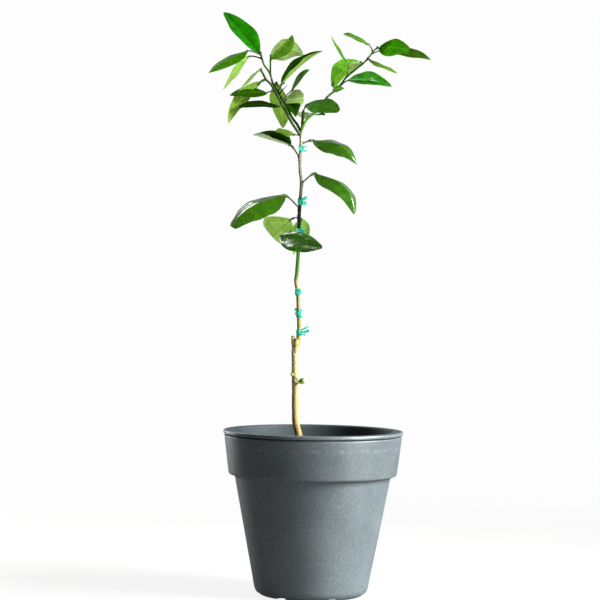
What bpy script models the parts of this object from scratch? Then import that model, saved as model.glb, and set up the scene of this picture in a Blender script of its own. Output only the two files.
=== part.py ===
"""Young grafted citrus tree in a plastic nursery pot, as separate closed solids.

Sizes are in millimetres up to the last step, where MM turns them into metres.
The origin is the centre of the pot's underside, +Z is up and -Y is the front.
A heading is an angle seen from above, anticlockwise from +X, and a rise is an
angle above the level. Both are in degrees.
"""

import math

import bmesh
import bpy
import numpy as np

MM = 0.001
GAP = 0.3  # clearance between neighbouring solids

# Pot, a turned shell with a rim band, on six feet
POT_SEGMENTS = 48
POT_RIM_R = 126.0
POT_LIP_R = 111.0
POT_TOP_Z = 229.0
BAND_LOW_Z = 166.0
BAND_LOW_R = 117.8
BODY_TOP_R = 109.4
BODY_LOW_R = 78.8
BODY_LOW_Z = 5.0
FOOT_R = 72.0
FOOT_INNER_R = 58.0
WALL = 3.6
FLOOR_TOP_Z = 9.0
FOOT_NOTCHES = 6
NOTCH_WIDTH = 13.0
DRAIN_HOLES = 6
DRAIN_RING_R = 45.0
DRAIN_R = 5.0

# Potting mix
SOIL_TOP_Z = 204.0
SOIL_EDGE_DROP = 5.0

# Stem: rootstock below the graft, scion above it
ROOTSTOCK = [
    (-19.5, 0, SOIL_TOP_Z + GAP), (-19.8, 0, 218), (-22, 0, 229), (-24.7, 0, 240), (-25.7, 0, 257),
    (-26, 0, 285), (-26.9, 0, 313), (-27.8, 0, 338), (-28.4, 0, 350),
]
ROOTSTOCK_RADII = {204: 6.4, 212: 5.4, 232: 4.9, 300: 4.9, 340: 4.5, 350: 3.6}
HORN = [(-28.2, 0, 340), (-29.4, 0, 351), (-30.8, 0.4, 360.5)]
HORN_RADII = {340: 3.6, 352: 2.8, 361: 1.3}
SCION = [
    (-25.6, 0, 338), (-23.6, 0, 350), (-22.5, 0, 362), (-22.2, 0, 376), (-23.2, 0, 398), (-24, 0, 416),
    (-25.8, 0, 429), (-27.4, 0, 437.5), (-26.6, 0, 445), (-25.6, 0, 460), (-24.8, 0, 478), (-24.3, 0, 510),
    (-24.1, 0, 530), (-23.2, 0, 548), (-22.3, 0, 564), (-21.9, 0, 577), (-24, 0, 595), (-24.3, 0, 612),
    (-23.4, 0, 626), (-23, 0, 640), (-22.4, 0, 650), (-21.9, 0, 657),
]
SCION_RADII = {338: 2.2, 348: 3.4, 356: 3.1, 372: 2.7, 437: 2.8, 530: 2.4, 600: 2.1, 640: 1.9, 657: 1.5}

# Boughs and the shoots they carry, each named from where it leaves the stem
BOUGHS = {
    "left": [
        (-25.5, -2, 643), (-38, -8, 661), (-45, -13, 674), (-53, -19, 687), (-62, -24, 703),
        (-67, -27, 710.5), (-73, -29, 716), (-78, -31, 725), (-82, -32, 730),
    ],
    "middle": [
        (-24, 2, 648), (-29, 5, 657.5), (-36, 9, 667), (-41.5, 13, 678.5), (-49.5, 18, 691.5),
        (-56, 21, 703), (-64, 23, 716), (-68, 22, 729), (-72, 20, 735.5), (-77, 17, 742),
        (-80, 14, 751), (-81.5, 12, 758),
    ],
    "top_shoot": [(-68, 22, 729), (-68, 24, 740), (-68, 26, 750)],
    "right": [
        (-22.4, -1, 650), (-16.6, -1, 662), (-10, -2, 669), (-1.5, -4, 675), (5.5, -7, 681.5),
        (12, -11, 694), (22.5, -14, 703), (31, -16, 711.5), (39.5, -16, 723), (60, -10, 741),
        (67, -7, 748), (77, 0, 761.5), (81, 3, 765.5),
    ],
    "fork_shoot": [(-21.9, 0, 657.3), (-21.3, 1.5, 666), (-20.8, 2, 676)],
}
BOUGH_RADII = {640: 1.6, 690: 1.35, 740: 1.05, 770: 0.8}
BOUGH_ENDS = {"left": 696.0, "middle": 724.0, "right": 696.0}
THORN_Z = 701.5
THORN_AIM = (-30, 43)
THORN_LENGTH = 19.0

# Tape ties round the scion: low and high edge, then each tail's heading, rise and length
TIE_WALL = 1.2
TIES = [
    (618.5, 627.5, [(-20, 8, 8), (-35, -10, 7)]),
    (544.0, 553.5, [(-25, 25, 9), (-15, -5, 6)]),
    (504.5, 511.0, [(-15, 5, 9)]),
    (418.0, 427.5, [(-30, 10, 6)]),
    (386.5, 397.5, [(150, 40, 6), (-40, -15, 5)]),
    (361.5, 369.5, [(-20, 25, 10), (-30, 5, 9)]),
]
TAIL_WIDTH = 3.2
TAIL_THICKNESS = 1.0

# Leaves. Each has its carrier and height there, a petiole (length, heading, rise), a blade
# (length, width, heading, rise, roll) and a bend (arch over length, fold of the halves, sweep).
LEAF_THICKNESS = 1.0
PETIOLE_R = 1.05
BEND_SKEW = 0.4
LEAVES = {
    "L1": ("scion", 539, (32, 215, 34), (90, 50, 202, -31, -33), (0.12, -22, 0.01)),
    "L2a": ("scion", 527, (17, 135, -10), (90, 53, 110, -14, 45), (-0.02, -14, 0.0)),
    "L2b": ("scion", 522, (12.5, 72, 16), (70, 21, 98, -45, -5), (0.06, 0, 0.05)),
    "L3": ("scion", 501, (28, 203, -2), (84, 32, 315, -12, 52), (0.02, -18, 0.03)),
    "L4": ("scion", 574, (25, 335, 35), (88, 47, 326, -41, 12), (0.20, -24, -0.03)),
    "L5": ("scion", 629, (19, 20, 20), (77, 38, 334, -27, 34), (0.20, -24, 0.0)),
    "L6": ("scion", 609, (25, 145, 50), (77, 38, 137, 14, 15), (-0.06, 24, 0.0)),
    "L7": ("scion", 640, (13, 140, 15), (58, 24, 119, 6, 20), (-0.08, 32, 0.0)),
    "M5": ("left", 680, (6, 210, 0), (70, 27, 217, -6, -25), (0.05, 4, 0.0)),
    "C1": ("middle", 713, (10, 65, 35), (78, 33, 80, -50, 22), (0.02, -8, 0.02)),
    "C2": ("middle", 688, (8, 75, 42), (62, 28, 66, 9, -88), (-0.02, -16, 0.0)),
    "C3": ("middle", 681, (9, 295, 35), (40, 17, 285, -32, 4), (0.12, 22, 0.0)),
    "C4": ("middle", 705, (12, 30, 60), (77, 31, 12, 40, 15), (0.05, 36, 0.0)),
    "C5": ("middle", 692, (20, 320, 40), (56, 22, 300, 26, 68), (0.05, 4, 0.0)),
    "T1": ("middle", 757, (4, 200, 10), (87, 36, 145, 45, -25), (0.02, 12, 0.0)),
    "T2": ("top_shoot", 750, (3, 270, 5), (68, 32, 295, 20, -160), (0.01, -12, 0.02)),
    "T3": ("top_shoot", 749, (9, 95, 62), (70, 31, 57, 8, -78), (0.02, 6, 0.12)),
    "T4": ("middle", 755, (22, 208, 12), (66, 26, 200, -31, -34), (0.06, 0, 0.01)),
    "T5": ("middle", 750, (22, 150, 12), (68, 27, 135, -39, 118), (0.01, -14, 0.0)),
    "M1": ("left", 728, (5, 280, 15), (61, 24, 232, -36, 30), (0.02, 0, 0.0)),
    "M3": ("left", 716, (9, 190, -28), (80, 33, 215, -50, 56), (0.09, 8, 0.0)),
    "M4": ("left", 701, (11, 185, -15), (64, 23, 218, -8, -42), (0.04, 2, 0.0)),
    "R0b": ("fork_shoot", 667, (5, 75, -20), (33, 13, 110, 10, 112), (0.06, 8, 0.0)),
    "R1": ("fork_shoot", 675, (14, 300, 42), (73, 30, 307, -12, 44), (0.03, -6, -0.04)),
    "R1b": ("fork_shoot", 672, (22, 35, 2), (27, 11, 60, 3, -15), (0.04, 4, 0.0)),
    "R2": ("right", 707, (9, 215, -20), (25, 10, 308, 0, 80), (0.06, 4, 0.0)),
    "R3a": ("right", 704, (16, 110, 35), (74, 34, 50, 30, -78), (0.10, 22, 0.02)),
    "R3b": ("right", 741, (8, 100, 38), (40, 16, 114, -16, 10), (0.06, 12, 0.0)),
    "R4": ("right", 723, (13, 300, 78), (58, 23, 236, 41, 140), (0.03, -10, 0.0)),
    "R5": ("right", 760, (13, 150, 58), (56, 22, 132, 20, 30), (0.04, 0, 0.0)),
    "R6": ("right", 765, (5, 325, 10), (61, 25, 310, -9, 66), (0.06, -6, -0.02)),
    "R7": ("right", 757, (20, 30, 17), (71, 28, 340, -12, 33), (0.06, 4, 0.0)),
    "R8": ("right", 748, (6, 305, 0), (59, 24, 314, -24, -4), (0.02, -8, 0.0)),
    "R9": ("right", 710, (15, 340, 30), (69, 27, 329, -10, 54), (0.07, 28, 0.0)),
}
MASSES = {
    "foliage_left": ["M1", "M3", "M4"],
    "foliage_top": ["T1", "T2", "T3", "T4", "T5"],
    "foliage_right": ["R2", "R3a", "R3b", "R4", "R5", "R6", "R7", "R8", "R9"],
    "foliage_fork": ["R0b", "R1", "R1b"],
}
SINGLE_LEAVES = {
    "leaf_stem_1": "L1", "leaf_stem_2": "L2a", "leaf_stem_3": "L2b", "leaf_stem_4": "L3",
    "leaf_stem_5": "L4", "leaf_stem_6": "L5", "leaf_stem_7": "L6", "leaf_stem_8": "L7",
    "leaf_left_low": "M5", "leaf_centre_1": "C1", "leaf_centre_2": "C2", "leaf_centre_3": "C3",
    "leaf_centre_4": "C4", "leaf_centre_5": "C5",
}


def clear_scene():
    """Remove every object, mesh and material that the file holds."""
    for thing in list(bpy.data.objects):
        bpy.data.objects.remove(thing, do_unlink=True)
    for store in (bpy.data.meshes, bpy.data.materials):
        for item in list(store):
            store.remove(item)


def material(name, colour, roughness):
    made = bpy.data.materials.new(name)
    made.use_nodes = True
    shader = made.node_tree.nodes["Principled BSDF"]
    shader.inputs["Base Color"].default_value = (*colour, 1.0)
    shader.inputs["Roughness"].default_value = roughness
    shader.inputs["Metallic"].default_value = 0.0
    return made


def solid(name, points, faces, surface=None):
    """A closed mesh object from points in millimetres, with its faces turned outward."""
    mesh = bpy.data.meshes.new(name)
    mesh.from_pydata((np.asarray(points) * MM).tolist(), [], faces)
    work = bmesh.new()
    work.from_mesh(mesh)
    bmesh.ops.recalc_face_normals(work, faces=work.faces)
    work.to_mesh(mesh)
    work.free()
    mesh.validate()
    thing = bpy.data.objects.new(name, mesh)
    bpy.context.scene.collection.objects.link(thing)
    if surface:
        mesh.materials.append(surface)
    return thing


def smooth_shaded(thing, angle=40):
    thing.data.shade_smooth()
    thing.data.set_sharp_from_angle(angle=math.radians(angle))
    return thing


def boolean(target, operation, others):
    """Join the others to the target, or cut them from it, and keep the result as its mesh."""
    group = bpy.data.collections.new("operands")
    bpy.context.scene.collection.children.link(group)
    for other in others:
        bpy.context.scene.collection.objects.unlink(other)
        group.objects.link(other)
    step = target.modifiers.new(operation.title(), "BOOLEAN")
    step.operation = operation
    step.solver = "EXACT"
    step.operand_type = "COLLECTION"
    step.collection = group
    graph = bpy.context.evaluated_depsgraph_get()
    result = bpy.data.meshes.new_from_object(target.evaluated_get(graph))
    target.modifiers.clear()
    spent = target.data
    target.data = result
    bpy.data.meshes.remove(spent)
    for other in others:
        mesh = other.data
        bpy.data.objects.remove(other, do_unlink=True)
        bpy.data.meshes.remove(mesh)
    bpy.data.collections.remove(group)
    return target


def direction(heading, rise):
    """Unit vector with this heading seen from above and this rise over the level, in degrees."""
    h, r = math.radians(heading), math.radians(rise)
    return np.array([math.cos(r) * math.cos(h), math.cos(r) * math.sin(h), math.sin(r)])


def smooth_route(points, step=9.0):
    """Catmull-Rom curve through the points, read about every step millimetres."""
    p = np.array(points, float)
    p = np.vstack([2 * p[0] - p[1], p, 2 * p[-1] - p[-2]])
    found = []
    for i in range(1, len(p) - 2):
        a, b, c, d = p[i - 1], p[i], p[i + 1], p[i + 2]
        count = max(1, round(float(np.linalg.norm(c - b)) / step))
        for t in np.arange(count) / count:
            curve = 2 * b + (c - a) * t + (2 * a - 5 * b + 4 * c - d) * t**2
            found.append(0.5 * (curve + (3 * b - a - 3 * c + d) * t**3))
    found.append(p[-2])
    return np.array(found)


def between(route, low, high):
    """The stretch of a rising route between two heights, with exact ends."""
    z = route[:, 2]
    inside = route[(z > low + 1.5) & (z < high - 1.5)]
    return np.vstack([at_height(route, low)[None], inside, at_height(route, high)[None]])


def at_height(route, height):
    """The point of a rising route at this height."""
    return np.array([np.interp(height, route[:, 2], route[:, axis]) for axis in range(3)])


def radii_at(route, named):
    """Radius at each point of a route, read from a table of height to radius."""
    heights = sorted(named)
    return np.interp(route[:, 2], heights, [named[h] for h in heights])


def tube(route, radii, sides=8, level_foot=False):
    """Points and faces of a closed round tube: rings square to the route, fans over both ends."""
    along = np.gradient(route, axis=0)
    along /= np.linalg.norm(along, axis=1, keepdims=True)
    if level_foot:
        along[0] = (0, 0, 1)
    side = np.cross(along[0], (0.0, 1.0, 0.0) if abs(along[0][1]) < 0.9 else (1.0, 0.0, 0.0))
    points = []
    for centre, axis, radius in zip(route, along, radii):
        side = side - axis * side.dot(axis)
        side /= np.linalg.norm(side)
        other = np.cross(axis, side)
        for k in range(sides):
            turn = 2 * math.pi * k / sides
            points.append(centre + radius * (math.cos(turn) * side + math.sin(turn) * other))
    rings = len(route)
    faces = [
        [i * sides + k, i * sides + (k + 1) % sides, (i + 1) * sides + (k + 1) % sides, (i + 1) * sides + k]
        for i in range(rings - 1)
        for k in range(sides)
    ]
    faces.append(list(range(sides))[::-1])
    faces.append([(rings - 1) * sides + k for k in range(sides)])
    return np.array(points), faces


def turned(profile, segments):
    """Points and faces of a closed outline of (radius, height) pairs turned about +Z."""
    points = []
    rings = []
    for radius, height in profile:
        if radius == 0:
            rings.append([len(points)] * segments)
            points.append((0, 0, height))
            continue
        rings.append(list(range(len(points), len(points) + segments)))
        for k in range(segments):
            turn = 2 * math.pi * k / segments
            points.append((radius * math.cos(turn), radius * math.sin(turn), height))
    faces = []
    for low, high in zip(rings, rings[1:]):
        for k in range(segments):
            n = (k + 1) % segments
            ring = [low[k], low[n], high[n], high[k]]
            face = [v for i, v in enumerate(ring) if v != ring[i - 1]]
            if len(face) > 2:
                faces.append(face)
    return np.array(points), faces


def plate(top, thickness):
    """Points and faces of a closed sheet under a grid of points, with its underside offset square to it."""
    rows, columns = top.shape[:2]
    down = np.cross(np.gradient(top, axis=1), np.gradient(top, axis=0))
    down /= np.linalg.norm(down, axis=2, keepdims=True)
    points = np.concatenate([(top - down * thickness / 2).reshape(-1, 3), (top + down * thickness / 2).reshape(-1, 3)])
    index = np.arange(rows * columns).reshape(rows, columns)
    lower = index + rows * columns
    faces = []
    for i in range(rows - 1):
        for j in range(columns - 1):
            faces.append([index[i, j], index[i + 1, j], index[i + 1, j + 1], index[i, j + 1]])
            faces.append([lower[i, j], lower[i, j + 1], lower[i + 1, j + 1], lower[i + 1, j]])
    edge = [*index[0, :-1], *index[:-1, -1], *index[-1, :0:-1], *index[:0:-1, 0]]
    for a, b in zip(edge, edge[1:] + edge[:1]):
        faces.append([a, b, b + rows * columns, a + rows * columns])
    return points, [[int(v) for v in face] for face in faces]


def blade_outline(u):
    """Half width of a citrus leaf as a share of its greatest, along its length from 0 to 1."""
    return np.sin(np.pi * u**0.88) ** 0.85 * (1 - 0.25 * u**6)


def blade(base, sizes, bend, stations=10):
    """Grid of points for a leaf blade: arched along its length and folded at its midrib."""
    length, width, heading, rise, roll = sizes
    arch, fold, sweep = bend
    ahead = direction(heading, rise)
    level = np.array([0, 0, 1.0]) - ahead * ahead[2]
    level /= np.linalg.norm(level)
    aside = np.cross(ahead, level)
    turn = math.radians(roll)
    up = level * math.cos(turn) + aside * math.sin(turn)
    across = np.cross(ahead, up)
    u = np.linspace(0, 1, stations)
    bow = 4 * u * (1 - u) * (1 + BEND_SKEW * (2 * u - 1))
    spine = base + np.outer(u, ahead) * length + np.outer(bow, up) * length * arch + np.outer(bow, across) * length * sweep
    along = np.gradient(spine, axis=0)
    along /= np.linalg.norm(along, axis=1, keepdims=True)
    normal = up - along * (along @ up)[:, None]
    normal /= np.linalg.norm(normal, axis=1, keepdims=True)
    out = np.cross(along, normal)
    half = np.maximum(width / 2 * blade_outline(np.clip(u, 0.02, 0.985)), 0.7)[:, None]
    lift = math.radians(fold)
    rim = normal * half * math.sin(lift)
    left = spine - out * half * math.cos(lift) + rim
    right = spine + out * half * math.cos(lift) + rim
    return np.stack([left, spine, right], axis=1)


def leaf_pieces(name, routes):
    """The blade and the petiole of one leaf, as (points, faces) pairs."""
    carrier, height, (length, heading, rise), sizes, bend = LEAVES[name]
    root = at_height(routes[carrier], height)
    base = root + direction(heading, rise) * length
    grid = blade(base, sizes, bend)
    sunk = grid[0, 1] + (grid[1, 1] - grid[0, 1]) * 0.75
    middle = root + (base - root) * 0.55 + np.array([0, 0, 0.06 * length])
    stalk = smooth_route([root, middle, base, sunk], step=9.0)
    radii = np.full(len(stalk), PETIOLE_R)
    radii[-1] = 0.32
    radii[0] = PETIOLE_R * 1.15
    return [plate(grid, LEAF_THICKNESS), tube(stalk, radii, sides=5)]


def fused(name, pieces, surface, cutters=()):
    """One node: the pieces joined by a union, then cut back from its neighbours' grown shapes."""
    first, *rest = [solid(f"{name}_{i}", points, faces) for i, (points, faces) in enumerate(pieces)]
    if rest:
        boolean(first, "UNION", rest)
    if cutters:
        boolean(first, "DIFFERENCE", [solid(f"cut_{i}", p, f) for i, (p, f) in enumerate(cutters)])
    first.name = name
    first.data.name = name
    first.data.materials.clear()
    first.data.materials.append(surface)
    return smooth_shaded(first)


def limb(route, named, sides=8, grow=0.0, level_foot=False):
    """A tube whose radius follows the table; grow adds clearance to its side and both ends."""
    radii = radii_at(route, named) + grow
    route = route.copy()
    for end, inner in ((0, 1), (-1, -2)):
        ahead = route[end] - route[inner]
        route[end] += ahead / np.linalg.norm(ahead) * grow
    return tube(route, radii, sides, level_foot)


def build_pot(surface):
    """Turned shell with its rim band and lip, drain holes through the floor and notches between the feet."""
    slope = (BODY_TOP_R - BODY_LOW_R) / (BAND_LOW_Z - BODY_LOW_Z)
    inner_low_r = BODY_LOW_R + slope * (FLOOR_TOP_Z - BODY_LOW_Z) - WALL
    profile = [
        (0, 0), (24, 0), (26, 2.4), (FOOT_INNER_R - 2, 2.4), (FOOT_INNER_R, 0), (FOOT_R, 0),
        (FOOT_R + 1.2, 2.6), (BODY_LOW_R - 3.2, 3.0), (BODY_LOW_R - 0.6, BODY_LOW_Z),
        (BODY_LOW_R + slope * 3, BODY_LOW_Z + 3), (BODY_TOP_R, BAND_LOW_Z - 0.6),
        (BODY_TOP_R + 1.0, BAND_LOW_Z), (BAND_LOW_R - 2.0, BAND_LOW_Z + 1.2),
        (BAND_LOW_R, BAND_LOW_Z + 4.5), (POT_RIM_R - 0.9, POT_TOP_Z - 9.0),
        (POT_RIM_R - 1.6, POT_TOP_Z - 6.6), (POT_RIM_R - 0.2, POT_TOP_Z - 4.2), (POT_RIM_R, POT_TOP_Z - 2.2),
        (POT_RIM_R - 0.9, POT_TOP_Z - 0.5), (POT_RIM_R - 2.6, POT_TOP_Z), (POT_LIP_R + 1.6, POT_TOP_Z),
        (POT_LIP_R, POT_TOP_Z - 1.6), (BODY_TOP_R - WALL + 0.6, BAND_LOW_Z + 4),
        (inner_low_r, FLOOR_TOP_Z), (0, FLOOR_TOP_Z),
    ]
    pot = solid("pot", *turned(profile, POT_SEGMENTS))
    cuts = []
    for k in range(DRAIN_HOLES):
        turn = 2 * math.pi * (k + 0.5) / DRAIN_HOLES
        x, y = DRAIN_RING_R * math.cos(turn), DRAIN_RING_R * math.sin(turn)
        cuts.append(solid(f"drain_{k}", *tube(np.array([(x, y, -5.0), (x, y, FLOOR_TOP_Z + 5)]), [DRAIN_R] * 2, 12)))
    for k in range(FOOT_NOTCHES):
        turn = math.radians(-65 + 360 * k / FOOT_NOTCHES)
        out, side = np.array([math.cos(turn), math.sin(turn)]), np.array([-math.sin(turn), math.cos(turn)])
        box = [
            (*(out * r + side * s * NOTCH_WIDTH / 2), z)
            for z in (-3.0, 2.5)
            for r, s in ((FOOT_INNER_R - 8, -1), (FOOT_R + 6, -1), (FOOT_R + 6, 1), (FOOT_INNER_R - 8, 1))
        ]
        faces = [[0, 1, 2, 3], [4, 5, 6, 7], [0, 1, 5, 4], [1, 2, 6, 5], [2, 3, 7, 6], [3, 0, 4, 7]]
        cuts.append(solid(f"notch_{k}", np.array(box), faces))
    boolean(pot, "DIFFERENCE", cuts)
    pot.data.materials.append(surface)
    return smooth_shaded(pot, 30)


def build_soil(surface):
    """The potting mix, GAP clear of the floor and the wall, falling a little to its edge."""
    slope = (BODY_TOP_R - BODY_LOW_R) / (BAND_LOW_Z - BODY_LOW_Z)
    clear = WALL + GAP * 1.4
    low_r = BODY_LOW_R + slope * (FLOOR_TOP_Z - BODY_LOW_Z) - clear
    band_r = BODY_TOP_R - clear + 0.6
    rim_r = POT_LIP_R - 0.5
    share = (SOIL_TOP_Z - SOIL_EDGE_DROP - BAND_LOW_Z - 4) / (POT_TOP_Z - 1.6 - BAND_LOW_Z - 4)
    edge_r = band_r + (rim_r - band_r) * share
    profile = [
        (0, FLOOR_TOP_Z + GAP), (low_r, FLOOR_TOP_Z + GAP), (band_r, BAND_LOW_Z + 4),
        (edge_r, SOIL_TOP_Z - SOIL_EDGE_DROP), (edge_r - 14, SOIL_TOP_Z - 1.6), (62, SOIL_TOP_Z), (0, SOIL_TOP_Z),
    ]
    soil = solid("soil", *turned(profile, POT_SEGMENTS), surface)
    return smooth_shaded(soil, 20)


def stem_pieces(grow=0.0):
    """Rootstock, its cut horn beside the graft, and scion."""
    rootstock = smooth_route(ROOTSTOCK, 14)
    scion = smooth_route(SCION, 14)
    horn = smooth_route(HORN, 6)
    return [
        limb(rootstock, ROOTSTOCK_RADII, 10, grow, level_foot=True),
        limb(scion, SCION_RADII, 10, grow),
        limb(horn, HORN_RADII, 8, grow),
    ]


def tie_pieces(scion, low, high, tails):
    """A collar of tape round the scion and its cut tails."""
    stretch = between(scion, low, high)
    radii = radii_at(stretch, SCION_RADII)
    pieces = [tube(stretch, radii + GAP + TIE_WALL, 12)]
    for i, (heading, rise, length) in enumerate(tails):
        at = at_height(scion, low + (high - low) * (0.35 + 0.3 * i))
        ahead = direction(heading, rise)
        level = np.cross(ahead, (0, 0, 1.0))
        level /= np.linalg.norm(level)
        up = np.cross(level, ahead)
        u = np.linspace(0, 1, 5)[:, None]
        curl = up * 0.12 * length * u**2
        spine = at + ahead * (1.5 + u * (length + 1.0)) + curl
        edge = up * TAIL_WIDTH / 2
        pieces.append(plate(np.stack([spine - edge, spine + edge], axis=1), TAIL_THICKNESS))
    return pieces


def build_plant(bark, tape, foliage, shoot):
    routes = {"scion": smooth_route(SCION, 3)}
    routes.update({name: smooth_route(points, 3) for name, points in BOUGHS.items()})
    fused("trunk", stem_pieces(), bark)

    grown = {"trunk": stem_pieces(GAP)}
    for name, top in BOUGH_ENDS.items():
        route = between(smooth_route(BOUGHS[name], 7), BOUGHS[name][0][2], top)
        cutters = [shape for shapes in grown.values() for shape in shapes]
        pieces = [limb(route, BOUGH_RADII, 8)]
        if name == "middle":
            root = at_height(routes["middle"], THORN_Z)
            ahead = direction(*THORN_AIM)
            thorn = np.array([root, root + ahead * THORN_LENGTH * 0.4, root + ahead * THORN_LENGTH])
            pieces.append(tube(thorn, [0.85, 0.65, 0.15], 6))
        fused(f"bough_{name}", pieces, bark, cutters)
        grown[name] = [limb(route, BOUGH_RADII, 8, GAP)]

    def carriers(names):
        """Grown shapes of the stem and boughs, for cutting roots back to their clearance."""
        return [shape for name in names for shape in grown[name]]

    for i, (low, high, tails) in enumerate(TIES):
        fused(f"tie_{i + 1}", tie_pieces(routes["scion"], low, high, tails), tape, carriers(["trunk"]))

    for node, name in SINGLE_LEAVES.items():
        carrier = LEAVES[name][0]
        fused(node, leaf_pieces(name, routes), foliage, carriers(["trunk" if carrier == "scion" else carrier]))

    for node, names in MASSES.items():
        side = node.removeprefix("foliage_")
        stems = []
        if side == "fork":
            stems.append(limb(smooth_route(BOUGHS["fork_shoot"], 6), BOUGH_RADII, 8))
        else:
            carrier = {"left": "left", "top": "middle", "right": "right"}[side]
            route = between(smooth_route(BOUGHS[carrier], 7), BOUGH_ENDS[carrier] + GAP * 1.4, BOUGHS[carrier][-1][2])
            stems.append(limb(route, BOUGH_RADII, 8))
        if side == "top":
            stems.append(limb(smooth_route(BOUGHS["top_shoot"], 6), BOUGH_RADII, 6))
        pieces = stems + [piece for name in names for piece in leaf_pieces(name, routes)]
        fused(node, pieces, foliage, carriers(list(grown)))

    root = at_height(smooth_route(ROOTSTOCK, 3), 293)
    fork = root + np.array([4.0, -7.0, 4.8])
    bud = root + np.array([-4.6, -7.2, 13.8])
    sprout = [
        tube(np.array([root, root + np.array([1.8, -6.0, 1.6]), fork]), [1.3, 1.2, 0.9], 8),
        tube(np.array([fork - (0.6, 0, 0.8), fork + (-2.2, -0.2, 3.0), bud - (-1.2, 0, 1.6)]), [0.8, 0.75, 0.7], 6),
        tube(np.array([bud - (-2.2, 0, 2.2), bud, bud + (-2.2, 0, 2.0)]), [0.9, 1.9, 0.6], 8),
        plate(blade(fork - (1.0, 0, 0.6), (9, 8, 330, 20, 70), (0.02, 4, 0), 6), LEAF_THICKNESS),
    ]
    fused("sprout", sprout, shoot, carriers(["trunk"]))


def main():
    clear_scene()
    pot = material("slate grey plastic", (0.13, 0.16, 0.18), 0.6)
    mix = material("dark potting mix", (0.03, 0.022, 0.015), 0.95)
    bark = material("olive bark", (0.17, 0.12, 0.05), 0.8)
    tape = material("turquoise tape", (0.01, 0.5, 0.4), 0.45)
    foliage = material("citrus leaf", (0.05, 0.13, 0.03), 0.4)
    shoot = material("young shoot", (0.2, 0.3, 0.05), 0.5)
    build_pot(pot)
    build_soil(mix)
    build_plant(bark, tape, foliage, shoot)


main()
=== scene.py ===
# %% [markdown]
# # A young grafted citrus tree in its nursery pot
# A grafted citrus is two plants in one. A rootstock gives the roots and the corky, straw-coloured
# foot of the stem, and a scion, the wanted kind, is set into its cut top and grows on as the
# green and olive stem, the boughs and the leaves. A grower ties it with bits of soft tape. The
# solids that fix its size are already made, so each lesson below takes one of them, works out
# its real surface as whole numpy arrays, and lays a finish on it.

import math
from collections import namedtuple

import bpy
import numpy as np
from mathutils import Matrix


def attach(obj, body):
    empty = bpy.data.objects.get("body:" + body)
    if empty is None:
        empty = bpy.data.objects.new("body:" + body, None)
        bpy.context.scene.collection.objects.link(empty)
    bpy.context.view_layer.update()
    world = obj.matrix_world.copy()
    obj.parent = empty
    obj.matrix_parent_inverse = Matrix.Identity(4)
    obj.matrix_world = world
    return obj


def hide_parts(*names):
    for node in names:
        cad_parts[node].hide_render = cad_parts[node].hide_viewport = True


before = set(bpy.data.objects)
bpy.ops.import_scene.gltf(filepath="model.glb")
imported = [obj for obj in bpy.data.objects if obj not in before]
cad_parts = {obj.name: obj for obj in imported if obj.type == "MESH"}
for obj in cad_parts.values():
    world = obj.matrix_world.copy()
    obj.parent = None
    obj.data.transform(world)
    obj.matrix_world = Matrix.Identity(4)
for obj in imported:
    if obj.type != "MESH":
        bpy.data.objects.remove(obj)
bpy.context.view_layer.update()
MM = 0.001
print("solids to dress:", len(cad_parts))

# %% [markdown]
# ## Camera
# A plant in a catalogue is shown from well back through a long lens, level with the middle of
# the object, so that the rim of the pot shows as a slim ellipse. The lens and the distance
# together set the size, and only the distance sets how slim that ellipse is.

# %% Camera
camera = bpy.data.objects.new("camera", bpy.data.cameras.new("camera"))
camera.data.sensor_width = 36
camera.data.lens = 112.6
camera.data.clip_end = 50
camera.location = (-0.0213, -2.63, 0.411)
camera.rotation_euler = (math.pi / 2, math.radians(-0.85), 0)
bpy.context.scene.collection.objects.link(camera)
bpy.context.scene.camera = camera
bpy.context.scene.view_settings.view_transform = "Standard"
print("camera stands", abs(camera.location.y), "m in front of the stem")

# %% [markdown]
# ## Colours and shader nodes
# Colours are written as sRGB hex codes, and the shader wants linear light, so one function turns
# them. Every material is a little tree of nodes, and one function adds a node with its settings
# and what feeds it. Three more start a material, lay a colour and a bump on it, and make the
# simple kind whose colour follows a single noise.


# %% Colour and node helpers
def linear(code):
    """Linear red, green, blue and 1 from a hex code: ((c + 0.055) / 1.055)^2.4, or c / 12.92 when dark."""
    c = np.array([int(code[i : i + 2], 16) for i in (1, 3, 5)]) / 255
    return (*np.where(c <= 0.04045, c / 12.92, ((c + 0.055) / 1.055) ** 2.4).tolist(), 1.0)


def node(tree, kind, feeds, stops=(), **settings):
    """Add a shader node with its settings. A colour ramp's stops are pairs of a place and a hex code.

    feeds maps each socket to a value, to the output linked to it, or to a node for its first output."""
    made = tree.nodes.new("ShaderNode" + kind)
    for name, value in settings.items():
        setattr(made, name, value)
    for socket, value in feeds.items():
        value = value.outputs[0] if isinstance(value, bpy.types.Node) else value
        if isinstance(value, bpy.types.NodeSocket):
            tree.links.new(value, made.inputs[socket])
        else:
            made.inputs[socket].default_value = value
    for number, (place, code) in enumerate(stops):
        steps = made.color_ramp.elements
        step = steps[number] if number < 2 else steps.new(place)
        step.position, step.color = place, linear(code)
    return made


TIMES = {"data_type": "RGBA", "blend_type": "MULTIPLY"}  # a Mix that multiplies two colours


def finish(name, colour, roughness, ior=1.5, gloss=0.5):
    """A new material, its node tree and its Object coordinates, with these constants in its shader."""
    made = bpy.data.materials.new(name)
    made.use_nodes = True
    shader = made.node_tree.nodes["Principled BSDF"]
    constants = {"Base Color": linear(colour), "Roughness": roughness, "IOR": ior, "Metallic": 0.0}
    for socket, value in {**constants, "Specular IOR Level": gloss}.items():
        shader.inputs[socket].default_value = value
    return made, made.node_tree, node(made.node_tree, "TexCoord", {}).outputs["Object"]


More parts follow.
